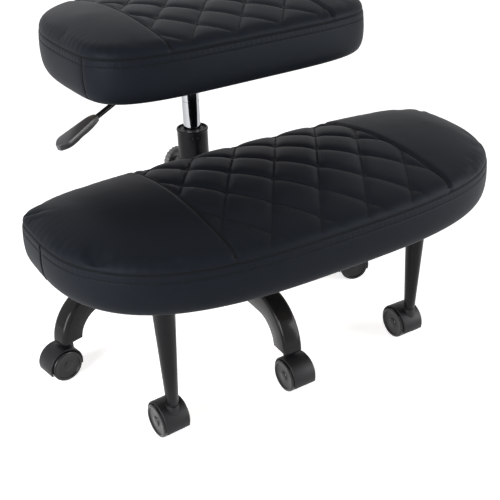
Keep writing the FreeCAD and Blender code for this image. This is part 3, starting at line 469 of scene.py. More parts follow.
@dataclass
class GasLift:
    """Outer tube, guide bushing and chrome column."""

    wardrobe: Wardrobe
    tube_radius: float = 25.0
    tube_wall: float = 2.0
    tube_bottom: float = 62.0
    tube_floor: float = 3.0
    tube_top: float = 319.0
    tube_steps: int = 192
    tube_round: float = 0.35
    lip_reach: float = 0.8
    lip_height: float = 4.0
    rod_hole: float = 5.6
    dimple_turns: tuple[float, float] = (238.4, 262.5)
    dimple_height: float = 308.5
    dimple_radius: float = 2.0
    dimple_depth: float = 1.1
    dimple_rows: int = 14
    dimple_margin: float = 5.0
    bushing_bore: float = 14.06
    bushing_bottom: float = 239.0
    bushing_top: float = 317.0
    bushing_round: float = 0.25
    notches: Teeth = Teeth(16)
    notch_depth: float = 3.0
    notch_inner: float = 18.0
    chrome_radius: float = 14.0
    chrome_bottom: float = 190.0
    chrome_top: float = 427.0
    chrome_chamfer: float = 1.0
    chrome_steps: int = 96
    groove_top: float = 367.0
    groove_width: float = 2.0
    groove_depth: float = 0.7
    groove_slope: float = 0.3

    def tube(self) -> Piece:
        """The tube, with a rolled lip and two punched dimples."""
        outer, hole = self.tube_radius, self.rod_hole
        inner, lip = outer - self.tube_wall, outer + self.lip_reach
        low, high = self.tube_bottom, self.tube_top
        start = self.dimple_height - self.dimple_margin
        row = 2 * self.dimple_margin / self.dimple_rows
        piece = Bench.lathe(
            [(hole, low), (outer, low)]
            + [(outer, start + row * index) for index in range(self.dimple_rows + 1)]
            + [(outer, high - self.lip_height), (lip, high - self.lip_height + self.lip_reach),
               (lip, high - self.lip_reach), (outer, high), (inner, high),
               (inner, low + self.tube_floor), (hole, low + self.tube_floor), (hole, low)],
            self.tube_steps)
        marks = [Vector((outer * math.cos(math.radians(turn)),
                         outer * math.sin(math.radians(turn)), self.dimple_height))
                 for turn in self.dimple_turns]

        def punch(place: Vector) -> Vector:
            """Push the outer skin in round each dimple's middle."""
            flat = Vector((place.x, place.y, 0))
            if flat.length < (inner + outer) / 2:
                return place
            near = min((place - mark).length for mark in marks) / self.dimple_radius
            return place - flat.normalized() * self.dimple_depth * max(0.0, 1 - near ** 2)

        Bench.reshape(piece, punch)
        Bench.round_off(piece, self.tube_round)
        return piece

    def bushing(self) -> Piece:
        """The nylon guide, whose mouth has a ring of teeth."""
        bore, outer = self.bushing_bore, self.tube_radius - self.tube_wall
        low, high = self.bushing_bottom, self.bushing_top
        piece = Bench.lathe([(bore, low), (outer, low), (outer, high),
                             (self.notch_inner, high), (bore, high), (bore, low)],
                            self.notches.steps)
        Bench.edit(piece)
        Bench.choose(lambda middle, normal: normal.z > 1 - FACE_TOLERANCE
                     and self.notches.hit(middle, self.notch_inner))
        Bench.extrude(z=-self.notch_depth)
        Bench.close(piece)
        Bench.round_off(piece, self.bushing_round)
        return piece

    def chrome(self) -> Piece:
        """The chrome column with its thin groove."""
        radius, low, high = self.chrome_radius, self.chrome_bottom, self.chrome_top
        waist, edge = radius - self.groove_depth, self.chrome_chamfer
        top, slope = self.groove_top, self.groove_slope
        base = top - self.groove_width
        return Bench.lathe([
            (0, low), (radius - edge, low), (radius, low + edge), (radius, base),
            (waist, base + slope), (waist, top - slope), (radius, top), (radius, high - edge),
            (radius - edge, high), (0, high),
        ], self.chrome_steps)

    def build(self) -> None:
        """Model the lift and dress its inner pieces."""
        hand_over = self.wardrobe.hand_over
        hand_over(self.tube(), "lift_tube", "base", SATIN, ["gas_outer_tube"])
        hand_over(self.bushing(), "lift_bushing", "base", NYLON, ["guide_bushing"])
        hand_over(self.chrome(), "lift_column", "seat", CHROME, ["chrome_column"])
        self.wardrobe.dress(STEEL, "piston_rod", "lift_retaining_clip", "release_pin",
                            "thrust_bearing")


@dataclass
class FiveArmBase:
    """The hub and five stamped arms."""

    wardrobe: Wardrobe
    hub_radius: float = 31.5
    hub_bore: float = 25.0
    hub_bottom: float = 84.0
    hub_top: float = 138.0
    hub_round: float = 2.0
    hub_steps: int = 96
    first_turn: float = 195.8
    arms: int = 5
    root: float = 30.0
    half_width: float = 18.5
    tip_half_width: float = 15.5
    top: float = 131.0
    depth: float = 34.0
    edge_radius: float = 8.0
    edge_steps: int = 6
    strides: int = 10
    bend_reach: float = 233.5
    bend_height: float = 55.0
    bend_angle: float = 92.0
    bend_steps: int = 22
    foot: float = 59.5
    wall: float = 3.6
    sheet_round: float = 0.6
    sheet_crisp: float = 50.0
    stem_reach: float = 294.0
    stem_radius: float = 5.5
    socket_wall: float = 3.0
    socket_height: float = 12.0
    socket_steps: int = 32

    def arm(self) -> Piece:
        """One arm along +X: an open channel run out level, then bent down to the foot."""
        corner = self.edge_radius
        half = [(self.half_width, self.top - self.depth)]
        for step in range(self.edge_steps + 1):
            angle = math.pi / 2 * step / self.edge_steps
            half.append((self.half_width - corner + corner * math.cos(angle),
                         self.top - corner + corner * math.sin(angle)))
        piece = Bench.strip([(self.root, -y, z) for y, z in half]
                            + [(self.root, y, z) for y, z in reversed(half)])
        for _ in range(self.strides):
            Bench.extrude(x=(self.bend_reach - self.root) / self.strides)
        bpy.ops.mesh.spin(steps=self.bend_steps, angle=-math.radians(self.bend_angle),
                          axis=(0, 1, 0),
                          center=(self.bend_reach * MM, 0, self.bend_height * MM))
        Bench.cut_below(self.foot, fill=False)
        Bench.close(piece)
        length = self.stem_reach + self.tip_half_width - self.root

        def taper(place: Vector) -> Vector:
            """Narrow the arm evenly from its root to its tip."""
            share = (place.x - self.root) / length
            width = 1 + share * (self.tip_half_width / self.half_width - 1)
            return Vector((place.x, place.y * width, place.z))

        Bench.reshape(piece, taper)
        crest = max(piece.data.polygons, key=lambda face: face.center.z)
        Bench.apply(piece, "SOLIDIFY", thickness=self.wall * MM,
                    offset=-1 if crest.normal.z > 0 else 1)
        Bench.edit(piece)
        Bench.close(piece)
        Bench.round_off(piece, self.sheet_round, angle=self.sheet_crisp)
        socket = Bench.ring(self.stem_radius, self.stem_radius + self.socket_wall, self.foot,
                            self.foot + self.socket_height, self.socket_steps)
        return Bench.join(piece, Bench.move(socket, x=self.stem_reach))

    def build(self) -> None:
        """Model the hub and one arm, and copy the arm round it."""
        hand_over = self.wardrobe.hand_over
        hub = Bench.ring(self.hub_bore, self.hub_radius, self.hub_bottom, self.hub_top,
                         self.hub_steps)
        Bench.round_off(hub, self.hub_round, segments=4)
        hand_over(hub, "hub_ring", "base", ENAMEL, ["base_hub"])
        master = self.arm()
        for index in range(self.arms):
            arm = Bench.move(Bench.copy(master), turn=self.first_turn + index * 360 / self.arms)
            hand_over(arm, f"arm_{index + 1}", "base", ENAMEL, [f"base_arm_{index + 1}"])
        bpy.data.objects.remove(master)
        self.wardrobe.dress(SATIN, "base_caster_stems")


# The ways that the casters trail, in degrees: of the five arms, and of the two legs.
BASE_TRAILS = (191.0, 270.0, 160.0, 231.8, 303.8)
REST_TRAILS = (93.2, 88.9)


@dataclass(frozen=True)
class CasterPlace:
    """Where one caster stands: its stem and the way it trails, in degrees."""

    name: str
    x: float
    y: float
    turn: float


@dataclass
class Casters:
    """Seven twin-wheel casters, modelled once. The stem is at the origin and trails to +X."""

    wardrobe: Wardrobe
    places: Sequence[CasterPlace]
    wheel_radius: float = 25.0
    wheel_inside: float = 7.3
    wheel_outside: float = 21.5
    wheel_steps: int = 72
    axle_radius: float = 3.06
    axle_cover: float = 4.0
    # Inset from the tread and rise from the inner face, or depth below the outer face.
    inner_rim: Pairs = ((2.2, 0), (0.7, 0.7), (0, 2.2))
    outer_rim: Pairs = ((0, 2.4), (0.7, 0.8), (2.2, 0), (4.4, 0), (5.0, 0.3), (5.6, 1.5),
                        (6.6, 1.9))
    # Radius and depth below the outer face.
    hub_cap: Pairs = ((9.2, 1.3), (8.2, 1.3), (7.4, 0.3), (6.4, 0), (0, 0))
    trail: float = 15.0
    hood_radius: float = 28.6
    hood_wall: float = 2.4
    hood_half_width: float = 18.5
    hood_chamfer: float = 1.0
    hood_round: float = 0.45
    hood_crisp: float = 40.0
    hood_steps: int = 40
    skirt: float = 17.0
    web_half_width: float = 6.8
    web_overlap: float = 1.0
    web_steps: int = 72
    boss_radius: float = 9.0
    boss_top: float = 56.0
    boss_chamfer: float = 0.8
    boss_steps: int = 40

    def wheel(self) -> Piece:
        """A wheel about the Z axis: rounded tread, a rim bead, a dished face and a hub cap."""
        low, high, tread, bore = (self.wheel_inside, self.wheel_outside, self.wheel_radius,
                                  self.axle_radius)
        cover = high - self.axle_cover
        return Bench.lathe(
            [(bore, low)] + [(tread - inset, low + rise) for inset, rise in self.inner_rim]
            + [(tread - inset, high - depth) for inset, depth in self.outer_rim]
            + [(radius, high - depth) for radius, depth in self.hub_cap]
            + [(0, cover), (bore, cover), (bore, low)], self.wheel_steps)

    def shell(self) -> Piece:
        """The arch over both wheels: a band swept round their axis, dipped at both ends."""
        outer, inner = self.hood_radius, self.hood_radius - self.hood_wall
        half, edge = self.hood_half_width, self.hood_chamfer
        dip = math.asin((self.wheel_radius - self.skirt) / outer)
        start = Matrix.Rotation(dip, 4, "Y")
        piece = Bench.strip([start @ Vector((radius, y, 0)) for radius, y in (
            (outer - edge, half), (outer, half - edge), (outer, edge - half),
            (outer - edge, -half), (inner, -half), (inner, half), (outer - edge, half))])
        bpy.ops.mesh.spin(steps=self.hood_steps, angle=math.pi + 2 * dip, center=(0, 0, 0),
                          axis=(0, 1, 0))
        return Bench.move(Bench.cap(piece), x=self.trail, z=self.wheel_radius)

    def web(self) -> Piece:
        """The wall between the wheels: a disc cut off level at the skirt."""
        Bench.take()
        radius = self.hood_radius - self.hood_wall + self.web_overlap
        bpy.ops.mesh.primitive_cylinder_add(vertices=self.web_steps, radius=radius * MM,
                                            depth=2 * self.web_half_width * MM)
        piece = Bench.move(bpy.context.object, x=self.trail, z=self.wheel_radius, roll=90)
        Bench.edit(piece)
        Bench.cut_below(self.skirt, fill=True)
        return Bench.close(piece)

    def hood(self) -> Piece:
        """The shell, its web and the boss for the stem."""
        boss = Bench.pin(self.boss_radius, self.skirt, self.boss_top, 0, self.boss_chamfer,
                         self.boss_steps)
        hood = Bench.join(self.shell(), self.web(), boss)
        Bench.round_off(hood, self.hood_round, angle=self.hood_crisp)
        return hood

    def build(self) -> None:
        """Model one hood and one wheel, and copy them to every caster."""
        hand_over = self.wardrobe.hand_over
        hood, wheel = self.hood(), Bench.move(self.wheel(), roll=-90)
        for place in self.places:
            turn = math.radians(place.turn)
            hub = (place.x + self.trail * math.cos(turn), place.y + self.trail * math.sin(turn))
            shell = Bench.move(Bench.copy(hood), place.x, place.y, turn=place.turn)
            hand_over(shell, f"hood_{place.name}", f"caster_{place.name}", HOOD_PLASTIC,
                      [f"caster_hood_{place.name}"])
            for side, half_turn in (("a", 0), ("b", 180)):
                name = f"wheel_{place.name}_{side}"
                disc = Bench.move(Bench.copy(wheel), *hub, self.wheel_radius,
                                  place.turn + half_turn)
                hand_over(disc, name, name, WHEEL_PLASTIC, [f"caster_{name}"])
            self.wardrobe.dress(STEEL, f"caster_axle_{place.name}")
        bpy.data.objects.remove(hood)
        bpy.data.objects.remove(wheel)


@dataclass
class SwingFrame:
    """Collar, clamp knob and the two legs of the rest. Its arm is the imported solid."""

    wardrobe: Wardrobe
    collar_bore: float = 27.5
    collar_radius: float = 31.46
    collar_bottom: float = 196.0
    collar_top: float = 264.0
    collar_round: float = 0.8
    collar_steps: int = 96
    boss_radius: float = 9.0
    boss_reach: float = 37.9
    boss_sink: float = 1.5
    boss_flare: float = 1.6
    boss_flare_length: float = 3.0
    boss_round: float = 0.5
    boss_steps: int = 40
    stud_radius: float = 4.1
    knob_turn: float = 100.0
    knob_height: float = 246.0
    knob_start: float = 41.96
    knob_depth: float = 13.0
    knob_radius: float = 25.0
    knob_wall: float = 3.5
    knob_hub: float = 8.0
    knob_lip: float = 1.2
    knob_shoulder: float = 3.2
    knob_round: float = 0.35
    knob_crisp: float = 40.0
    ribs: Teeth = Teeth(24)
    rib_height: float = 1.3
    leg_x: float = 215.0
    leg_y: float = -307.0
    leg_foot: float = 8.7
    leg_top: float = 17.0
    leg_bottom: float = 59.5
    leg_rings: tuple[float, float] = (60.0, 120.0)
    leg_steps: int = 72
    leg_round: float = 0.5
    socket_radius: float = 5.5
    socket_depth: float = 26.0
    weld_height: float = 5.0
    # Reach beyond the leg and drop below the flange.
    weld: Pairs = ((0.9, 2.6), (3.6, 0))
    flange_radius: float = 31.0
    flange_low: float = 252.0
    flange_high: float = 256.0

    def collar(self) -> Piece:
        """The ring round the lift's tube, with the threaded boss of the knob."""
        ring = Bench.ring(self.collar_bore, self.collar_radius, self.collar_bottom,
                          self.collar_top, self.collar_steps)
        Bench.round_off(ring, self.collar_round, segments=3)
        start, end = self.collar_radius - self.boss_sink, self.boss_reach
        radius, hole = self.boss_radius, self.stud_radius
        boss = Bench.lathe([(hole, start), (radius + self.boss_flare, start),
                            (radius, start + self.boss_flare_length), (radius, end),
                            (hole, end), (hole, start)], self.boss_steps)
        Bench.round_off(boss, self.boss_round)
        Bench.move(boss, z=self.knob_height, turn=self.knob_turn, lean=90)
        return Bench.join(ring, boss)

    def knob(self) -> Piece:
        """The knob's cup, open to the column, with a thick ribbed rim and a hub."""
        near, far, rim = self.knob_start, self.knob_start + self.knob_depth, self.knob_radius
        floor, inside, hole = far - self.knob_wall, rim - self.knob_wall, self.stud_radius
        lip, shoulder = self.knob_lip, self.knob_shoulder
        cup = Bench.lathe([
            (hole, near), (self.knob_hub, near), (self.knob_hub, floor), (inside, floor),
            (inside, near + lip / 2), (rim - lip, near), (rim, near + lip),
            (rim, far - shoulder), (rim - shoulder, far), (0, far), (0, floor), (hole, floor),
            (hole, near),
        ], self.ribs.steps)
        Bench.edit(cup)
        Bench.choose(lambda middle, normal: abs(normal.z) < FACE_TOLERANCE
                     and self.ribs.hit(middle, rim - FACE_TOLERANCE))
        bpy.ops.mesh.extrude_region_move()
        grow = 1 + self.rib_height / rim
        bpy.ops.transform.resize(value=(grow, grow, 1), center_override=(0, 0, 0))
        Bench.close(cup)
        Bench.round_off(cup, self.knob_round, angle=self.knob_crisp)
        return Bench.move(cup, z=self.knob_height, turn=self.knob_turn, lean=90)

    def leg(self) -> Piece:
        """A tapered leg with its flange and weld."""
        low, under, socket = self.leg_bottom, self.flange_low, self.leg_bottom + self.socket_depth
        slope = (self.leg_top - self.leg_foot) / (under - low)
        piece = Bench.lathe(
            [(0, socket), (self.socket_radius, socket), (self.socket_radius, low),
             (self.leg_foot, low)]
            + [(self.leg_foot + slope * rise, low + rise) for rise in self.leg_rings]
            + [(self.leg_top - slope * self.weld_height, under - self.weld_height)]
            + [(self.leg_top + reach, under - drop) for reach, drop in self.weld]
            + [(self.flange_radius, under), (self.flange_radius, self.flange_high),
               (0, self.flange_high)], self.leg_steps)
        Bench.round_off(piece, self.leg_round)
        return piece

    def build(self) -> None:
        """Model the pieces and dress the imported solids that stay."""
        hand_over, dress = self.wardrobe.hand_over, self.wardrobe.dress
        hand_over(self.collar(), "collar", "rest", SATIN, ["swivel_collar"])
        hand_over(self.knob(), "knob", "knob", GREY_PLASTIC, ["clamp_knob"])
        master = self.leg()
        for side, hand in (("left", -1), ("right", 1)):
            leg = Bench.move(Bench.copy(master), hand * self.leg_x, self.leg_y)
            hand_over(leg, f"rest_leg_{side}", "rest", SATIN, [f"leg_{side}"])
        bpy.data.objects.remove(master)
        dress(NYLON, "collar_bush")
        dress(SATIN, "rest_arm", "leg_caster_stems")
        dress(STEEL, "rest_bolts", "clamp_stud")
        dress(PLYWOOD, "rest_board")


@dataclass
class SeatLever:
    """The bent lever rod and its moulded grip. Its own frame has the lever along +X."""

    wardrobe: Wardrobe
    turn: float = 200.0
    height: float = 435.1
    rod_radius: float = 3.75
    rod_steps: int = 32
    start: float = -3.0
    bend_at: float = 62.0
    bend_radius: float = 18.0
    bend_steps: int = 8
    slope: float = 16.7
    reach: float = 225.0
    eye_x: float = 32.0
    eye_radius: float = 6.0
    eye_width: float = 10.0
    eye_chamfer: float = 0.6
    eye_steps: int = 40
    grip_start: float = 196.0
    grip_length: float = 77.0
    grip_crisp: float = 60.0
    grip_cuts: tuple[int, int] = (3, 1)
    neck_half: float = 7.0
    tip_half: float = 13.0
    widening: float = 1.15
    half_thick: float = 7.0
    tip_share: float = 0.14
    tip_rounding: float = 0.9
    tip_thinning: float = 0.25
    neck_share: float = 0.06
    neck_rounding: float = 0.35
    neck_thinning: float = 0.3
    corner_squeeze: float = 0.12
    scallop_start: float = 8.0
    scallop_pitch: float = 15.0
    scallop_depth: float = 1.6

    def rod(self) -> Piece:
        """A rod run out level, bent and run on down the slope."""
        slope = math.radians(self.slope)
        run_in = self.bend_radius * math.tan(slope / 2)
        Bench.take()
        bpy.ops.mesh.primitive_circle_add(vertices=self.rod_steps, radius=self.rod_radius * MM)
        piece = Bench.move(bpy.context.object, x=self.start, lean=90)
        Bench.edit(piece)
        Bench.extrude(x=self.bend_at - run_in - self.start)
        bpy.ops.mesh.spin(steps=self.bend_steps, angle=-slope, axis=(0, 1, 0),
                          center=((self.bend_at - run_in) * MM, 0, -self.bend_radius * MM))
        length = (self.reach - self.bend_at) / math.cos(slope) - run_in
        Bench.extrude(x=math.cos(slope) * length, z=-math.sin(slope) * length)
        return Bench.cap(piece)

    def eye(self) -> Piece:
        """The boss that the pivot pin goes through."""
        half, edge = self.eye_width / 2, self.eye_chamfer
        boss = Bench.pin(self.eye_radius, -half, half, edge, edge, self.eye_steps)
        return Bench.move(boss, x=self.eye_x, roll=90)

    def mould(self, place: Vector) -> Vector:
        """Put a corner of the grip's blank, a cube drawn out along X, onto the grip's skin."""
        share = place.x / self.grip_length + 0.5
        across, up = place.y * 2, place.z * 2
        tip = max(0.0, (share - 1 + self.tip_share) / self.tip_share)
        neck = max(0.0, (self.neck_share - share) / self.neck_share)
        half = self.neck_half + (self.tip_half - self.neck_half) * min(1, share * self.widening)
        half *= math.sqrt(max(0.0, 1 - self.tip_rounding * tip ** 2))
        half *= 1 - self.neck_rounding * neck ** 2
        thick = self.half_thick * (1 - self.tip_thinning * tip ** 2
                                   - self.neck_thinning * neck ** 2)
        squeeze = 1 - self.corner_squeeze * (across * up) ** 2
        z = up * thick * squeeze
        if up < 0:
            phase = (share * self.grip_length - self.scallop_start) / self.scallop_pitch
            wave = 0.5 + 0.5 * math.cos(FULL_TURN * phase)
            z += self.scallop_depth * wave * -up * (1 - tip)
        return Vector((share * self.grip_length, across * half * squeeze, z))

    def grip(self) -> Piece:
        """A paddle that widens to a round tip, with finger hollows below."""
        Bench.take()
        bpy.ops.mesh.primitive_cube_add(size=1)
        piece = bpy.context.object
        piece.data.transform(Matrix.Diagonal((self.grip_length * MM, MM, MM, 1)))
        Bench.edit(piece)
        for cuts in self.grip_cuts:
            bpy.ops.mesh.subdivide(number_cuts=cuts)
        Bench.close(piece)
        Bench.reshape(piece, self.mould)
        Bench.apply(piece, "SUBSURF", levels=2, render_levels=2)
        drop = (self.grip_start - self.bend_at) * math.tan(math.radians(self.slope))
        return Bench.move(piece, x=self.grip_start, z=-drop, lean=self.slope)

    def build(self) -> None:
        """Model the lever and dress the mechanism above it."""
        rod, grip = Bench.join(self.rod(), self.eye()), self.grip()
        for piece, name, finish, replaced, angle in (
                (rod, "lever_shaft", SATIN, "lever_rod", CRISP_ANGLE),
                (grip, "lever_handle", LEVER_PLASTIC, "lever_grip", self.grip_crisp)):
            Bench.move(piece, z=self.height, turn=self.turn)
            self.wardrobe.hand_over(piece, name, "lever", finish, [replaced], angle)
        self.wardrobe.dress(SATIN, "seat_plate")
        self.wardrobe.dress(STEEL, "seat_bolts", "lever_pivot")
        self.wardrobe.dress(PLYWOOD, "seat_board")


@dataclass(frozen=True)
class Section:
    """The cushion's cross-section.

    Each pair is a reach out of the outline and a height below or above what its name says.
    """

    roll_width: float = 16.0
    roll_height: float = 13.0
    roll_insets: tuple[float, ...] = (0, 1.1, 2.6, 5, 8.5, 13, 19, 26, 34)
    dome_rings: int = 9
    below_seam: Pairs = ((0.4, 1.4), (0.8, 3.5), (1.2, 7), (1.5, 9.6), (1.8, 12), (2.3, 18),
                         (2.8, 26))
    above_rim: Pairs = ((2.6, 26), (1.8, 17), (-0.6, 9.5), (-3.6, 4.6), (-7.4, 1.8),
                        (-11.5, 0.5), (-16, 0.25), (-17, 0.3), (-17.3, 6))
    above_board: Pairs = ((-17.6, 12.2),)
    base_height: float = 12.3
    base_shares: tuple[float, ...] = (0.35, 0.7, 1.0)


@dataclass(frozen=True)
class Stuffing:
    """How the cloth solver blows the top up, and what holds it."""

    seam_hold: float = 4.0
    line_hold: float = 5.5
    panel_cap: float = 5.0
    wing_cap: float = 6.0
    least_move: float = 1e-9
    frames: int = 20
    quality: int = 6
    mass: float = 0.3
    tension_stiffness: float = 12.0
    compression_stiffness: float = 8.0
    bending_stiffness: float = 0.8
    uniform_pressure_force: float = 4.0
    ease_factor: float = 0.5
    ease_rounds: int = 12
    ease_margin: float = 12.0
    ease_height: float = 18.0

    def solve(self, piece: Piece, held: np.ndarray) -> None:
        """Run the solver.

        Args:
            piece: the skin.
            held: for each corner, whether it is pinned.
        """
        group = piece.vertex_groups.new(name="held")
        group.add([int(index) for index in np.nonzero(held)[0]], 1.0, "REPLACE")
        Bench.take(piece)
        cloth = piece.modifiers.new("stuffing", "CLOTH")
        for name in ("quality", "mass", "tension_stiffness", "compression_stiffness",
                     "bending_stiffness", "uniform_pressure_force"):
            setattr(cloth.settings, name, getattr(self, name))
        cloth.settings.use_pressure = True
        cloth.settings.effector_weights.gravity = 0
        cloth.settings.vertex_group_mass = group.name
        cloth.point_cache.frame_end = self.frames
        for number in range(1, self.frames + 1):
            bpy.context.scene.frame_set(number)
        bpy.ops.object.modifier_apply(modifier=cloth.name)
        bpy.context.scene.frame_set(1)
        piece.vertex_groups.clear()


@dataclass(frozen=True)
class Creases:
    """How deep and how wide the sewing presses the skin."""

    band_top: float = 0.5
    band_bottom: float = 2.0
    valley_depth: float = 4.6
    valley_width: float = 13.0
    valley_sharpness: float = 2.2
    valley_limit: float = 1.15
    valley_fade: float = 14.0
    panel_fade: float = 6.0
    front_share: float = 0.62
    front_start: float = 0.75
    front_run: float = 90.0
    panel_depth: float = 2.6
    panel_width: float = 3.6
    panel_run_in: float = 3.0
    panel_least: float = 0.5
    seam_depth: float = 1.1
    topstitch_depth: float = 0.5
    stitch_width: float = 1.4
    joint_depth: float = 1.2
    joint_width: float = 1.8
    tuck_depth: float = 0.22
    tuck_width: float = 3.6
    tuck_pitch: float = 8.3
    tuck_drift: tuple[float, float] = (1.7, 61.0)
    pleat_depth: float = 0.24
    pleat_pitch: float = 13.7
    pleat_drift: tuple[float, float] = (2.3, 47.0)
    pleat_mean: float = 0.55
    pleat_swing: float = 0.45
    pleat_swell: float = 83.0
    pleat_reach: float = 15.0
    pleat_wing: float = 60.0


@dataclass(frozen=True)
class Thread:
    """A thread: its radius, how far its middle lies under the skin, and faces round it.

    A stitch takes a share of its pitch.
    """

    radius: float
    sink: float
    sides: int
    share: float = 1.0


# The first is no stitching: an unbroken near-black cord along every seam, which paints the shade of
# the seams' creases.
SEAM_SHADE_CORD = Thread(0.95, 0.15, 6)
TOP_STITCHING = Thread(0.8, 0.05, 5, 0.66)
QUILTING = Thread(0.65, 0.1, 5, 0.8)


def bell(distance: np.ndarray, width: float) -> np.ndarray:
    """1 at no distance, and falling off round a width."""
    return np.exp(-(distance / width) ** 2)


@dataclass
class Cushion:
    """A boxed cushion with a crowned, quilted middle panel. Its front is towards -Y."""

    wardrobe: Wardrobe
    name: str
    body: str
    node: str
    half_width: float
    side: float
    front: float
    back: float
    front_power: float
    back_power: float
    bottom: float
    crown: float
    panel: float
    lattice_x: float
    lattice_y: float
    seam_height: float
    boxing_seam: float
    turn: float = 0.0
    rim_drop: float = 0.0
    columns: int = 96
    outline_samples: int = 4001
    ridge_share: float = 0.75
    wing_fall: float = 0.3
    quilt_width: float = 72.0
    quilt_depth: float = 106.0
    quilt_margin: float = 3.0
    quilt_step: float = 1.2
    quilt_reach: int = 9
    shortest_line: float = 12.0
    stitch_pitch: float = 5.2
    first_stitch: float = 1.0
    # Share of a stitch's length and how far it dips there.
    stitch_dips: Pairs = ((0, 0.35), (0.25, 0.0), (0.75, 0.0), (1.0, 0.35))
    topstitch_drop: float = 10.0
    thread_step: float = 2.0
    throw_height: float = 90.0
    throw_reach: float = 20.0
    panel_line_inset: float = 1.5
    joint_way: tuple[float, float] = (0.97, -0.25)
    joint_throw: float = 25.0
    joint_top: float = 1.0
    joint_foot: float = 8.0
    section: Section = Section()
    stuffing: Stuffing = Stuffing()
    creases: Creases = Creases()

    @property
    def seam(self) -> float:
        """Height of the seam between the boxing and the top."""
        return self.bottom + self.seam_height

    def edge(self, x: np.ndarray | float, hand: int) -> np.ndarray:
        """Depth of the outline at places across: the front for hand -1, the back for 1."""
        power = self.front_power if hand < 0 else self.back_power
        deep = self.front if hand < 0 else self.back
        share = np.clip(np.abs(x) / self.half_width, 0, 1)
        return self.side + deep * (1 - share ** power) ** (1 / power)

    def outline(self) -> np.ndarray:
        """The seam line in plan, counter-clockwise from the left end along the front."""
        fine = -self.half_width * np.cos(np.linspace(0, math.pi, self.outline_samples))
        walk = np.hypot(np.diff(fine), np.diff(self.edge(fine, -1)))
        length = np.concatenate([[0], np.cumsum(walk)])
        across = np.interp(np.linspace(0, length[-1], self.columns + 1), length, fine)
        front = np.column_stack([across, self.edge(across, -1)])
        back = np.column_stack([across, self.edge(across, 1)])[-2:0:-1]
        return np.vstack([front, back])

    def outward(self, outline: np.ndarray) -> np.ndarray:
        """For each place of the outline, the way out of the cushion."""
        step = np.roll(outline, -1, 0) - np.roll(outline, 1, 0)
        return np.column_stack([step[:, 1], -step[:, 0]]) / np.hypot(*step.T)[:, None]

    def rise(self, across: np.ndarray, inset: np.ndarray, reach: np.ndarray) -> np.ndarray:
        """Height of the top above the seam.

        Args:
            across: places across.
            inset: distances in from the seam line.
            reach: distances from the seam line to the ridge.

        Returns:
            The heights.
        """
        wing = np.clip((np.abs(across) - self.panel) / (self.half_width - self.panel), 0, 1)
        crown = self.crown * (1 - self.wing_fall * wing ** 2)
        turn_in = np.clip(inset / self.section.roll_width, 0, 1)
        roll = self.section.roll_height * np.sqrt(1 - (1 - turn_in) ** 2)
        dome = 1 - (1 - inset / reach) ** 2
        return roll + (crown - self.section.roll_height) * dome

    def rings(self) -> list[np.ndarray]:
        """Rings of the skin from the ridge over the seam and down to the middle of the base."""
        section, outline = self.section, self.outline()
        across = outline[:, 0] * self.ridge_share
        ridge = np.column_stack([across, (self.edge(across, -1) + self.edge(across, 1)) / 2])
        reach = np.hypot(*(outline - ridge).T)
        inward = (ridge - outline) / reach[:, None]
        outward = self.outward(outline)
        last = section.roll_insets[-1]
        insets = [last + (reach - last) * index / section.dome_rings
                  for index in range(section.dome_rings, 0, -1)]
        insets += [np.full(len(outline), float(inset)) for inset in reversed(section.roll_insets)]
        skin = []
        for inset in insets:
            plan = outline + inward * inset[:, None]
            skin.append(np.column_stack([plan, self.seam + self.rise(plan[:, 0], inset, reach)]))
        rim = self.bottom - self.rim_drop
        band = [(out, self.seam - drop) for out, drop in section.below_seam]
        band += [(out, rim + rise) for out, rise in section.above_rim]
        band += [(out, self.bottom + rise) for out, rise in section.above_board]
        skin += [np.column_stack([outline + outward * out, np.full(len(outline), z)])
                 for out, z in band]
        fold = -band[-1][0]
        for share in section.base_shares:
            plan = outline + inward * (fold + (reach - fold) * share)[:, None]
            skin.append(np.column_stack([
                plan, np.full(len(outline), self.bottom + section.base_height)]))
        return skin

    def blank(self) -> Piece:
        """The closed skin before it is stuffed, in the cushion's own frame."""
        rings = self.rings()
        count = len(rings[0])
        faces = []
        for start in range(0, (len(rings) - 1) * count, count):
            for column in range(count):
                here, beside = start + column, start + (column + 1) % count
                faces.append((here, here + count, beside + count, beside))
        return Bench.from_corners(self.name, (np.vstack(rings) * MM).tolist(), faces)

    def lattice(self, places: np.ndarray) -> tuple[np.ndarray, np.ndarray]:
        """Distance in plan from each place to the nearest quilting line of either family."""
        apart = 1 / math.hypot(1 / self.quilt_width, 1 / self.quilt_depth)
        x = (places[:, 0] - self.lattice_x) / self.quilt_width
        y = (places[:, 1] - self.lattice_y) / self.quilt_depth
        return tuple(np.abs(line - np.round(line)) * apart for line in (x + y, x - y))

    @staticmethod
    def places(piece: Piece) -> np.ndarray:
        """The corners of a piece in millimetres."""
        return np.array([v.co for v in piece.data.vertices]) / MM

    @staticmethod
    def put(piece: Piece, places: np.ndarray) -> None:
        """Move the corners of a piece."""
        piece.data.vertices.foreach_set("co", (places * MM).ravel())
        piece.data.update()

    def stuff(self, piece: Piece) -> None:
        """Blow the top up between its seams, and keep each move within a cap."""
        stuffing, start = self.stuffing, self.places(piece)
        quilted = np.abs(start[:, 0]) < self.panel
        held = ((start[:, 2] < self.seam + stuffing.seam_hold)
                | (quilted & (np.minimum(*self.lattice(start)) < stuffing.line_hold))
                | (np.abs(np.abs(start[:, 0]) - self.panel) < stuffing.line_hold))
        stuffing.solve(piece, held)
        moved = self.places(piece) - start
        length = np.maximum(np.linalg.norm(moved, axis=1), stuffing.least_move)
        cap = np.where(quilted, stuffing.panel_cap, stuffing.wing_cap)
        self.put(piece, start + moved * np.minimum(1, cap / length)[:, None])

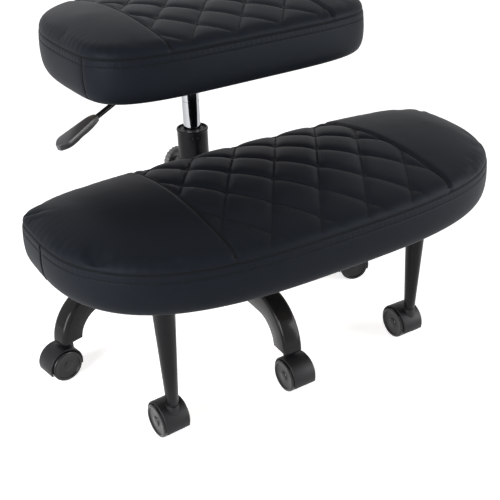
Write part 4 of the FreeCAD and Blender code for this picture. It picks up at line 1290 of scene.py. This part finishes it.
    def ease(self, piece: Piece) -> None:
        """Smooth the tops of the two ends, where the rings crowd together."""
        stuffing = self.stuffing
        ends = piece.vertex_groups.new(name="ends")
        ends.add([v.index for v in piece.data.vertices
                  if abs(v.co.x) / MM > self.panel + stuffing.ease_margin
                  and v.co.z / MM > self.seam + stuffing.ease_height], 1.0, "REPLACE")
        Bench.apply(piece, "SMOOTH", factor=stuffing.ease_factor,
                    iterations=stuffing.ease_rounds, vertex_group=ends.name)

    def survey(self, places: np.ndarray) -> tuple[np.ndarray, np.ndarray, list[float]]:
        """Measure places against the outline.

        Args:
            places: places in millimetres.

        Returns:
            Their distances in plan from the outline, their places along it, and where along
            it the boxing is joined: near both ends of the front.
        """
        outline = self.outline()
        walk = np.hypot(*(np.roll(outline, -1, 0) - outline).T)
        along = np.concatenate([[0], np.cumsum(walk)[:-1]])
        inset, arc = np.full(len(places), np.inf), np.zeros(len(places))
        for index, start in enumerate(outline):
            line = outline[(index + 1) % len(outline)] - start
            share = np.clip((places[:, :2] - start) @ line / (line @ line), 0, 1)
            far = np.hypot(*(places[:, :2] - start - share[:, None] * line).T)
            closer = far < inset
            inset[closer] = far[closer]
            arc[closer] = along[index] + share[closer] * walk[index]
        joints = []
        for hand in (-1, 1):
            target = np.array([hand * self.boxing_seam, self.edge(self.boxing_seam, -1)])
            joints.append(float(along[np.argmin(np.hypot(*(outline - target).T))]))
        return inset, arc, joints

    def sew(self, piece: Piece) -> None:
        """Press the seams, the quilting and the puckers into the subdivided skin."""
        crease, places = self.creases, self.places(piece)
        normals = np.array([v.normal for v in piece.data.vertices])
        inset, arc, joints = self.survey(places)
        height, across = places[:, 2] - self.seam, np.abs(places[:, 0])
        top = height > 0
        band = ((height < -crease.band_top)
                & (places[:, 2] > self.bottom - self.rim_drop + crease.band_bottom))

        front = self.side + self.front * crease.front_start
        share = np.clip((places[:, 1] - front) / crease.front_run, 0, 1)
        depth = crease.valley_depth * (crease.front_share + (1 - crease.front_share) * share)
        depth *= np.clip(inset / crease.valley_fade, 0, 1)
        depth *= np.clip((self.panel - across) / crease.panel_fade, 0, 1)
        hollow = sum(np.exp(-line / crease.valley_width * crease.valley_sharpness)
                     for line in self.lattice(places))
        drop = np.where(top & (across < self.panel),
                        np.minimum(hollow, crease.valley_limit) * depth, 0)

        run_in = inset / crease.panel_run_in
        panel = crease.panel_depth * bell(across - self.panel, crease.panel_width)
        drop += np.where(top, panel * np.clip(run_in, crease.panel_least, 1), 0)
        drop += crease.seam_depth * bell(np.hypot(inset, height), crease.stitch_width)
        below = height + self.topstitch_drop
        drop += np.where(band, crease.topstitch_depth * bell(below, crease.stitch_width), 0)

        sway, length = crease.tuck_drift
        ripple = np.sin(arc / crease.tuck_pitch * FULL_TURN + sway * np.sin(arc / length))
        tuck = bell(height + self.topstitch_drop / 2, crease.tuck_width)
        drop += np.where(band, crease.tuck_depth * ripple * tuck, 0)
        sway, length = crease.pleat_drift
        pleat = np.sin(arc / crease.pleat_pitch * FULL_TURN + sway * np.sin(arc / length))
        pleat *= crease.pleat_mean + crease.pleat_swing * np.sin(arc / crease.pleat_swell)
        pleat *= np.clip((across - self.panel) / crease.pleat_wing, 0, 1)
        pleat *= np.exp(-inset / crease.pleat_reach) * np.clip(run_in, 0, 1)
        drop += np.where(top, crease.pleat_depth * pleat, 0)
        for joint in joints:
            drop += np.where(band, crease.joint_depth * bell(arc - joint, crease.joint_width), 0)
        self.put(piece, places - normals * drop[:, None])

    def down_line(self, start: Vector, end: Vector) -> Line:
        """Places over a straight line in plan, to be thrown down."""
        count = max(2, int((end - start).length / self.thread_step))
        high = Vector((0, 0, self.seam + self.throw_height))
        return [(start.lerp(end, index / count) + high, -UP) for index in range(count + 1)]

    def side_line(self, height: float) -> Line:
        """Places round the outline at one height, to be thrown in."""
        outline = self.outline()
        line = []
        for (x, y), out in zip(outline, self.outward(outline)):
            out = Vector((*out, 0))
            line.append((Vector((x, y, height)) + out * self.throw_reach, -out))
        return line + line[:1]

    def panel_lines(self) -> list[Line]:
        """The two seams of the middle panel."""
        inset = self.panel_line_inset
        return [self.down_line(Vector((x, self.edge(x, -1) + inset, 0)),
                               Vector((x, self.edge(x, 1) - inset, 0)))
                for x in (-self.panel, self.panel)]

    def joint_lines(self) -> list[Line]:
        """The joints of the boxing, near both ends of the front."""
        lines, (aside, ahead) = [], self.joint_way
        top, length = self.seam - self.joint_top, self.seam_height - self.joint_foot
        for x in (-self.boxing_seam, self.boxing_seam):
            out = Vector((math.copysign(aside, x), ahead, 0)).normalized()
            lines.append([(Vector((x, self.edge(x, -1), top - drop)) + out * self.joint_throw, -out)
                          for drop in np.arange(0, length, self.thread_step)])
        return lines

    def quilt_lines(self) -> list[Line]:
        """Straight lines of both families, cut to the middle panel and the outline."""
        lines = []
        margin, half = self.quilt_margin, self.panel - self.quilt_margin
        for lean in (-1, 1):
            for number in range(-self.quilt_reach, self.quilt_reach + 1):
                inside = []
                for x in np.arange(-half, half + WELD_DISTANCE, self.quilt_step):
                    line = number - (x - self.lattice_x) / self.quilt_width
                    y = self.lattice_y + lean * line * self.quilt_depth
                    if self.edge(x, -1) + margin < y < self.edge(x, 1) - margin:
                        inside.append(Vector((x, y, 0)))
                if inside and (inside[-1] - inside[0]).length > self.shortest_line:
                    lines.append(self.down_line(inside[0], inside[-1]))
        return lines

    def cord(self, name: str, lines: Sequence[Line], thread: Thread) -> Piece:
        """Lay thread, and the unbroken seam cords of painted shade, along lines of the skin, as one
        mesh of closed tubes.

        Args:
            name: the piece's name, without the cushion's.
            lines: places on the skin with their normals.
            thread: the thread.

        Returns:
            The piece, in the cushion's own frame.
        """
        corners: list[Vector] = []
        faces: list[tuple[int, ...]] = []
        sides = thread.sides
        for line in lines:
            if len(line) < 3:
                continue
            base = len(corners)
            for index, (place, normal) in enumerate(line):
                ahead = line[min(index + 1, len(line) - 1)][0] - line[max(index - 1, 0)][0]
                flank = ahead.normalized().cross(normal).normalized()
                middle = place - normal * thread.sink
                for side in range(sides):
                    angle = FULL_TURN * side / sides
                    spoke = flank * math.cos(angle) + normal * math.sin(angle)
                    corners.append((middle + spoke * thread.radius) * MM)
            last = len(corners) - sides
            for start in range(base, last, sides):
                for side in range(sides):
                    here, beside = start + side, start + (side + 1) % sides
                    faces.append((here, beside, beside + sides, here + sides))
            faces.append(tuple(base + side for side in reversed(range(sides))))
            faces.append(tuple(last + side for side in range(sides)))
        return Bench.from_corners(f"{self.name}_{name}", corners, faces)

    def dashes(self, line: Line, thread: Thread) -> list[Line]:
        """Cut a line on the skin into stitches whose ends dip into it.

        Args:
            line: places on the skin with their normals.
            thread: the thread.

        Returns:
            The stitches.
        """
        if len(line) < 2:
            return []
        places, normals = (np.array([list(pair[part]) for pair in line]) for part in (0, 1))
        length = np.concatenate([[0], np.cumsum(np.linalg.norm(np.diff(places, axis=0), axis=1))])
        stitches = []
        for start in np.arange(self.first_stitch, length[-1] - self.stitch_pitch,
                               self.stitch_pitch):
            stitch = []
            for share, sunk in self.stitch_dips:
                mark = start + share * self.stitch_pitch * thread.share
                place, normal = (Vector([np.interp(mark, length, values[:, axis])
                                         for axis in range(3)]) for values in (places, normals))
                normal.normalize()
                stitch.append((place - normal * sunk, normal))
            stitches.append(stitch)
        return stitches

    def threads_and_seam_shade(self, skin: Piece) -> list[Piece]:
        """Lay the seam cords, which are dark painted shade in the seams' creases, and the stitches
        on the sewn skin.
        """
        tree = BVHTree.FromPolygons([v.co for v in skin.data.vertices],
                                    [p.vertices[:] for p in skin.data.polygons])

        def on_skin(line: Line) -> Line:
            """Throw the places of a line onto the skin."""
            hits = [tree.ray_cast(place * MM, way)[:2] for place, way in line]
            return [(place / MM, normal) for place, normal in hits if place is not None]

        seams = [on_skin(line) for line in [self.side_line(self.seam)] + self.panel_lines()
                 + self.joint_lines()]
        topstitch = on_skin(self.side_line(self.seam - self.topstitch_drop))
        quilting = [dash for line in self.quilt_lines()
                    for dash in self.dashes(on_skin(line), QUILTING)]
        return [
            # An unbroken near-black cord along the seams and joints: painted shade in their
            # creases, not stitching.
            self.cord("seam_shade_line", seams, SEAM_SHADE_CORD),
            self.cord("top_stitching", self.dashes(topstitch, TOP_STITCHING), TOP_STITCHING),
            self.cord("quilting_thread", quilting, QUILTING),
        ]

    def build(self) -> None:
        """Cut, stuff and sew the cushion, then lay its stitches and the dark cords of painted shade
        in its seams.
        """
        skin = self.blank()
        self.stuff(skin)
        self.ease(skin)
        Bench.apply(skin, "SUBSURF", levels=2, render_levels=2)
        self.sew(skin)
        threads_and_seam_shade = self.threads_and_seam_shade(skin)
        for piece in [skin] + threads_and_seam_shade:
            Bench.move(piece, turn=self.turn)
        self.wardrobe.hand_over(skin, f"{self.name}_cover", self.body, LEATHER, [self.node],
                                angle=SOFT_ANGLE)
        # The seam cords among these are painted shade, dressed in the thread's near-black.
        for piece in threads_and_seam_shade:
            self.wardrobe.hand_over(piece, piece.name, self.body, THREAD_AND_SEAM_SHADE)


@dataclass(frozen=True)
class Lamp:
    """A soft square lamp. Places and size are in metres, power in watts."""

    name: str
    place: tuple[float, float, float]
    target: tuple[float, float, float]
    size: float
    power: float


@dataclass
class Studio:
    """The pale floor, the soft lights and the photograph's camera."""

    camera_place: tuple[float, float, float] = (-564.87, -1109.92, 778.38)
    right: tuple[float, float, float] = (0.84856, -0.52834, -0.02828)
    down: tuple[float, float, float] = (-0.27816, -0.40000, -0.87329)
    ahead: tuple[float, float, float] = (0.45008, 0.74890, -0.48639)
    lens: float = 57.92
    sensor: float = 36.0
    clip: tuple[float, float] = (0.05, 50.0)
    ambient: float = 0.13
    background: float = 1.0
    floor_size: float = 14.0
    floor_colour: float = 0.93
    glow_near: float = 0.7
    glow_far: float = 0.95
    glow_run: tuple[float, float] = (1.0, 3.0)
    lamps: tuple[Lamp, ...] = (
        Lamp("key", (-2.4, -0.8, 1.0), (0, -0.1, 0.35), 1.7, 88),
        Lamp("fill", (2.0, -1.9, 0.8), (0.1, -0.2, 0.35), 1.9, 74),
        Lamp("rim", (0.6, 2.2, 1.6), (0, 0, 0.35), 1.4, 3),
    )

    def camera(self) -> None:
        """Stand the camera where the photograph was taken from."""
        data = bpy.data.cameras.new("camera")
        data.lens = self.lens
        data.sensor_width = self.sensor
        data.clip_start, data.clip_end = self.clip
        camera = bpy.data.objects.new("camera", data)
        axes = Matrix((self.right, -Vector(self.down), -Vector(self.ahead))).transposed()
        place = Matrix.Translation(Vector(self.camera_place) * MM)
        camera.matrix_world = place @ axes.to_4x4()
        bpy.context.scene.collection.objects.link(camera)
        bpy.context.scene.camera = camera

    def seen(self, nodes: Nodes) -> Socket:
        """1 for what the camera, a reflection or glass sees, and 0 for light on the object."""
        path = nodes.add("LightPath").outputs
        seen = path["Is Camera Ray"]
        for ray in ("Is Glossy Ray", "Is Transmission Ray"):
            seen = nodes.add("Math", {"operation": "MAXIMUM"}, _0=seen, _1=path[ray]).outputs[0]
        return seen

    def world(self) -> None:
        """A white surround to look at, and a dimmer one to be lit by."""
        world = bpy.data.worlds.new("studio")
        bpy.context.scene.world = world
        nodes = Nodes(world)
        lit, looked_at = (nodes.add("Background", Color=(1, 1, 1, 1), Strength=strength)
                          for strength in (self.ambient, self.background))
        mix = nodes.add("MixShader", _0=self.seen(nodes), _1=lit.outputs[0],
                        _2=looked_at.outputs[0])
        nodes.add("OutputWorld", Surface=mix.outputs[0])

    def floor(self) -> None:
        """A pale floor that keeps the object's shadow and fades to white far off."""
        Bench.take()
        bpy.ops.mesh.primitive_plane_add(size=self.floor_size)
        floor = bpy.context.object
        floor.name = "floor"
        material = bpy.data.materials.new("pale_floor")
        nodes = Nodes(material)
        plain = nodes.add("BsdfDiffuse", Color=(*[self.floor_colour] * 3, 1))
        place = nodes.add("TexCoord").outputs["Object"]
        far = nodes.add("VectorMath", {"operation": "LENGTH"}, _0=place).outputs["Value"]
        start, end = self.glow_run
        strength = nodes.add("MapRange", Value=far, From_Min=start, From_Max=end,
                             To_Min=self.glow_near, To_Max=self.glow_far).outputs["Result"]
        glow = nodes.add("Emission", Color=(1, 1, 1, 1), Strength=strength)
        both = nodes.add("AddShader", _0=plain.outputs[0], _1=glow.outputs[0])
        mix = nodes.add("MixShader", _0=self.seen(nodes), _1=plain.outputs[0],
                        _2=both.outputs[0])
        nodes.add("OutputMaterial", Surface=mix.outputs[0])
        floor.data.materials.append(material)

    def hang(self, lamp: Lamp) -> None:
        """Hang a lamp and point it at its target."""
        data = bpy.data.lights.new(lamp.name, "AREA")
        data.size = lamp.size
        data.energy = lamp.power
        light = bpy.data.objects.new(lamp.name, data)
        light.location = lamp.place
        way = Vector(lamp.target) - Vector(lamp.place)
        light.rotation_euler = way.to_track_quat("-Z", "Y").to_euler()
        bpy.context.scene.collection.objects.link(light)

    def build(self) -> None:
        """Set everything up."""
        bpy.context.scene.view_settings.view_transform = "Standard"
        self.camera()
        self.world()
        self.floor()
        for lamp in self.lamps:
            self.hang(lamp)


def caster_places(base: FiveArmBase, rest: SwingFrame) -> list[CasterPlace]:
    """Stem places of the base's five casters and the rest's two.

    Args:
        base: the base, which gives its stems' reach and first azimuth.
        rest: the rest's frame, which gives its legs' places.

    Returns:
        The seven places.
    """
    places = []
    for index, turn in enumerate(BASE_TRAILS):
        azimuth = math.radians(base.first_turn + index * 360 / base.arms)
        places.append(CasterPlace(str(index + 1), base.stem_reach * math.cos(azimuth),
                                  base.stem_reach * math.sin(azimuth), turn))
    for name, hand, turn in zip(("left", "right"), (-1, 1), REST_TRAILS):
        places.append(CasterPlace(name, hand * rest.leg_x, rest.leg_y, turn))
    return places


def cushions(wardrobe: Wardrobe) -> tuple[Cushion, Cushion]:
    """The wide rest's cushion, and the seat's, which stands a little turned."""
    rest = Cushion(
        wardrobe, "rest", "rest", "rest_cushion", half_width=341.0, side=-190.0, front=-238.0,
        back=68.0, front_power=3.0, back_power=3.2, bottom=256.0, crown=33.0, panel=166.0,
        lattice_x=0.0, lattice_y=-243.0, seam_height=60.0, boxing_seam=340.0)
    seat = Cushion(
        wardrobe, "seat", "seat", "seat_cushion", half_width=229.5, side=-70.0, front=-128.0,
        back=225.0, front_power=4.2, back_power=2.7, bottom=448.0, crown=32.0, panel=131.0,
        lattice_x=5.0, lattice_y=-150.0, quilt_depth=90.0, seam_height=56.0, rim_drop=6.0,
        turn=2.3, columns=72, boxing_seam=227.0)
    return rest, seat


def main() -> None:
    """Build the stool and its studio."""
    logging.basicConfig(level=logging.INFO, format="%(message)s")
    wardrobe = Wardrobe()
    base, rest_frame = FiveArmBase(wardrobe), SwingFrame(wardrobe)
    casters = Casters(wardrobe, caster_places(base, rest_frame))
    for part in (Studio(), base, GasLift(wardrobe), rest_frame, casters, SeatLever(wardrobe),
                 *cushions(wardrobe)):
        part.build()


if __name__ == "__main__":
    main()
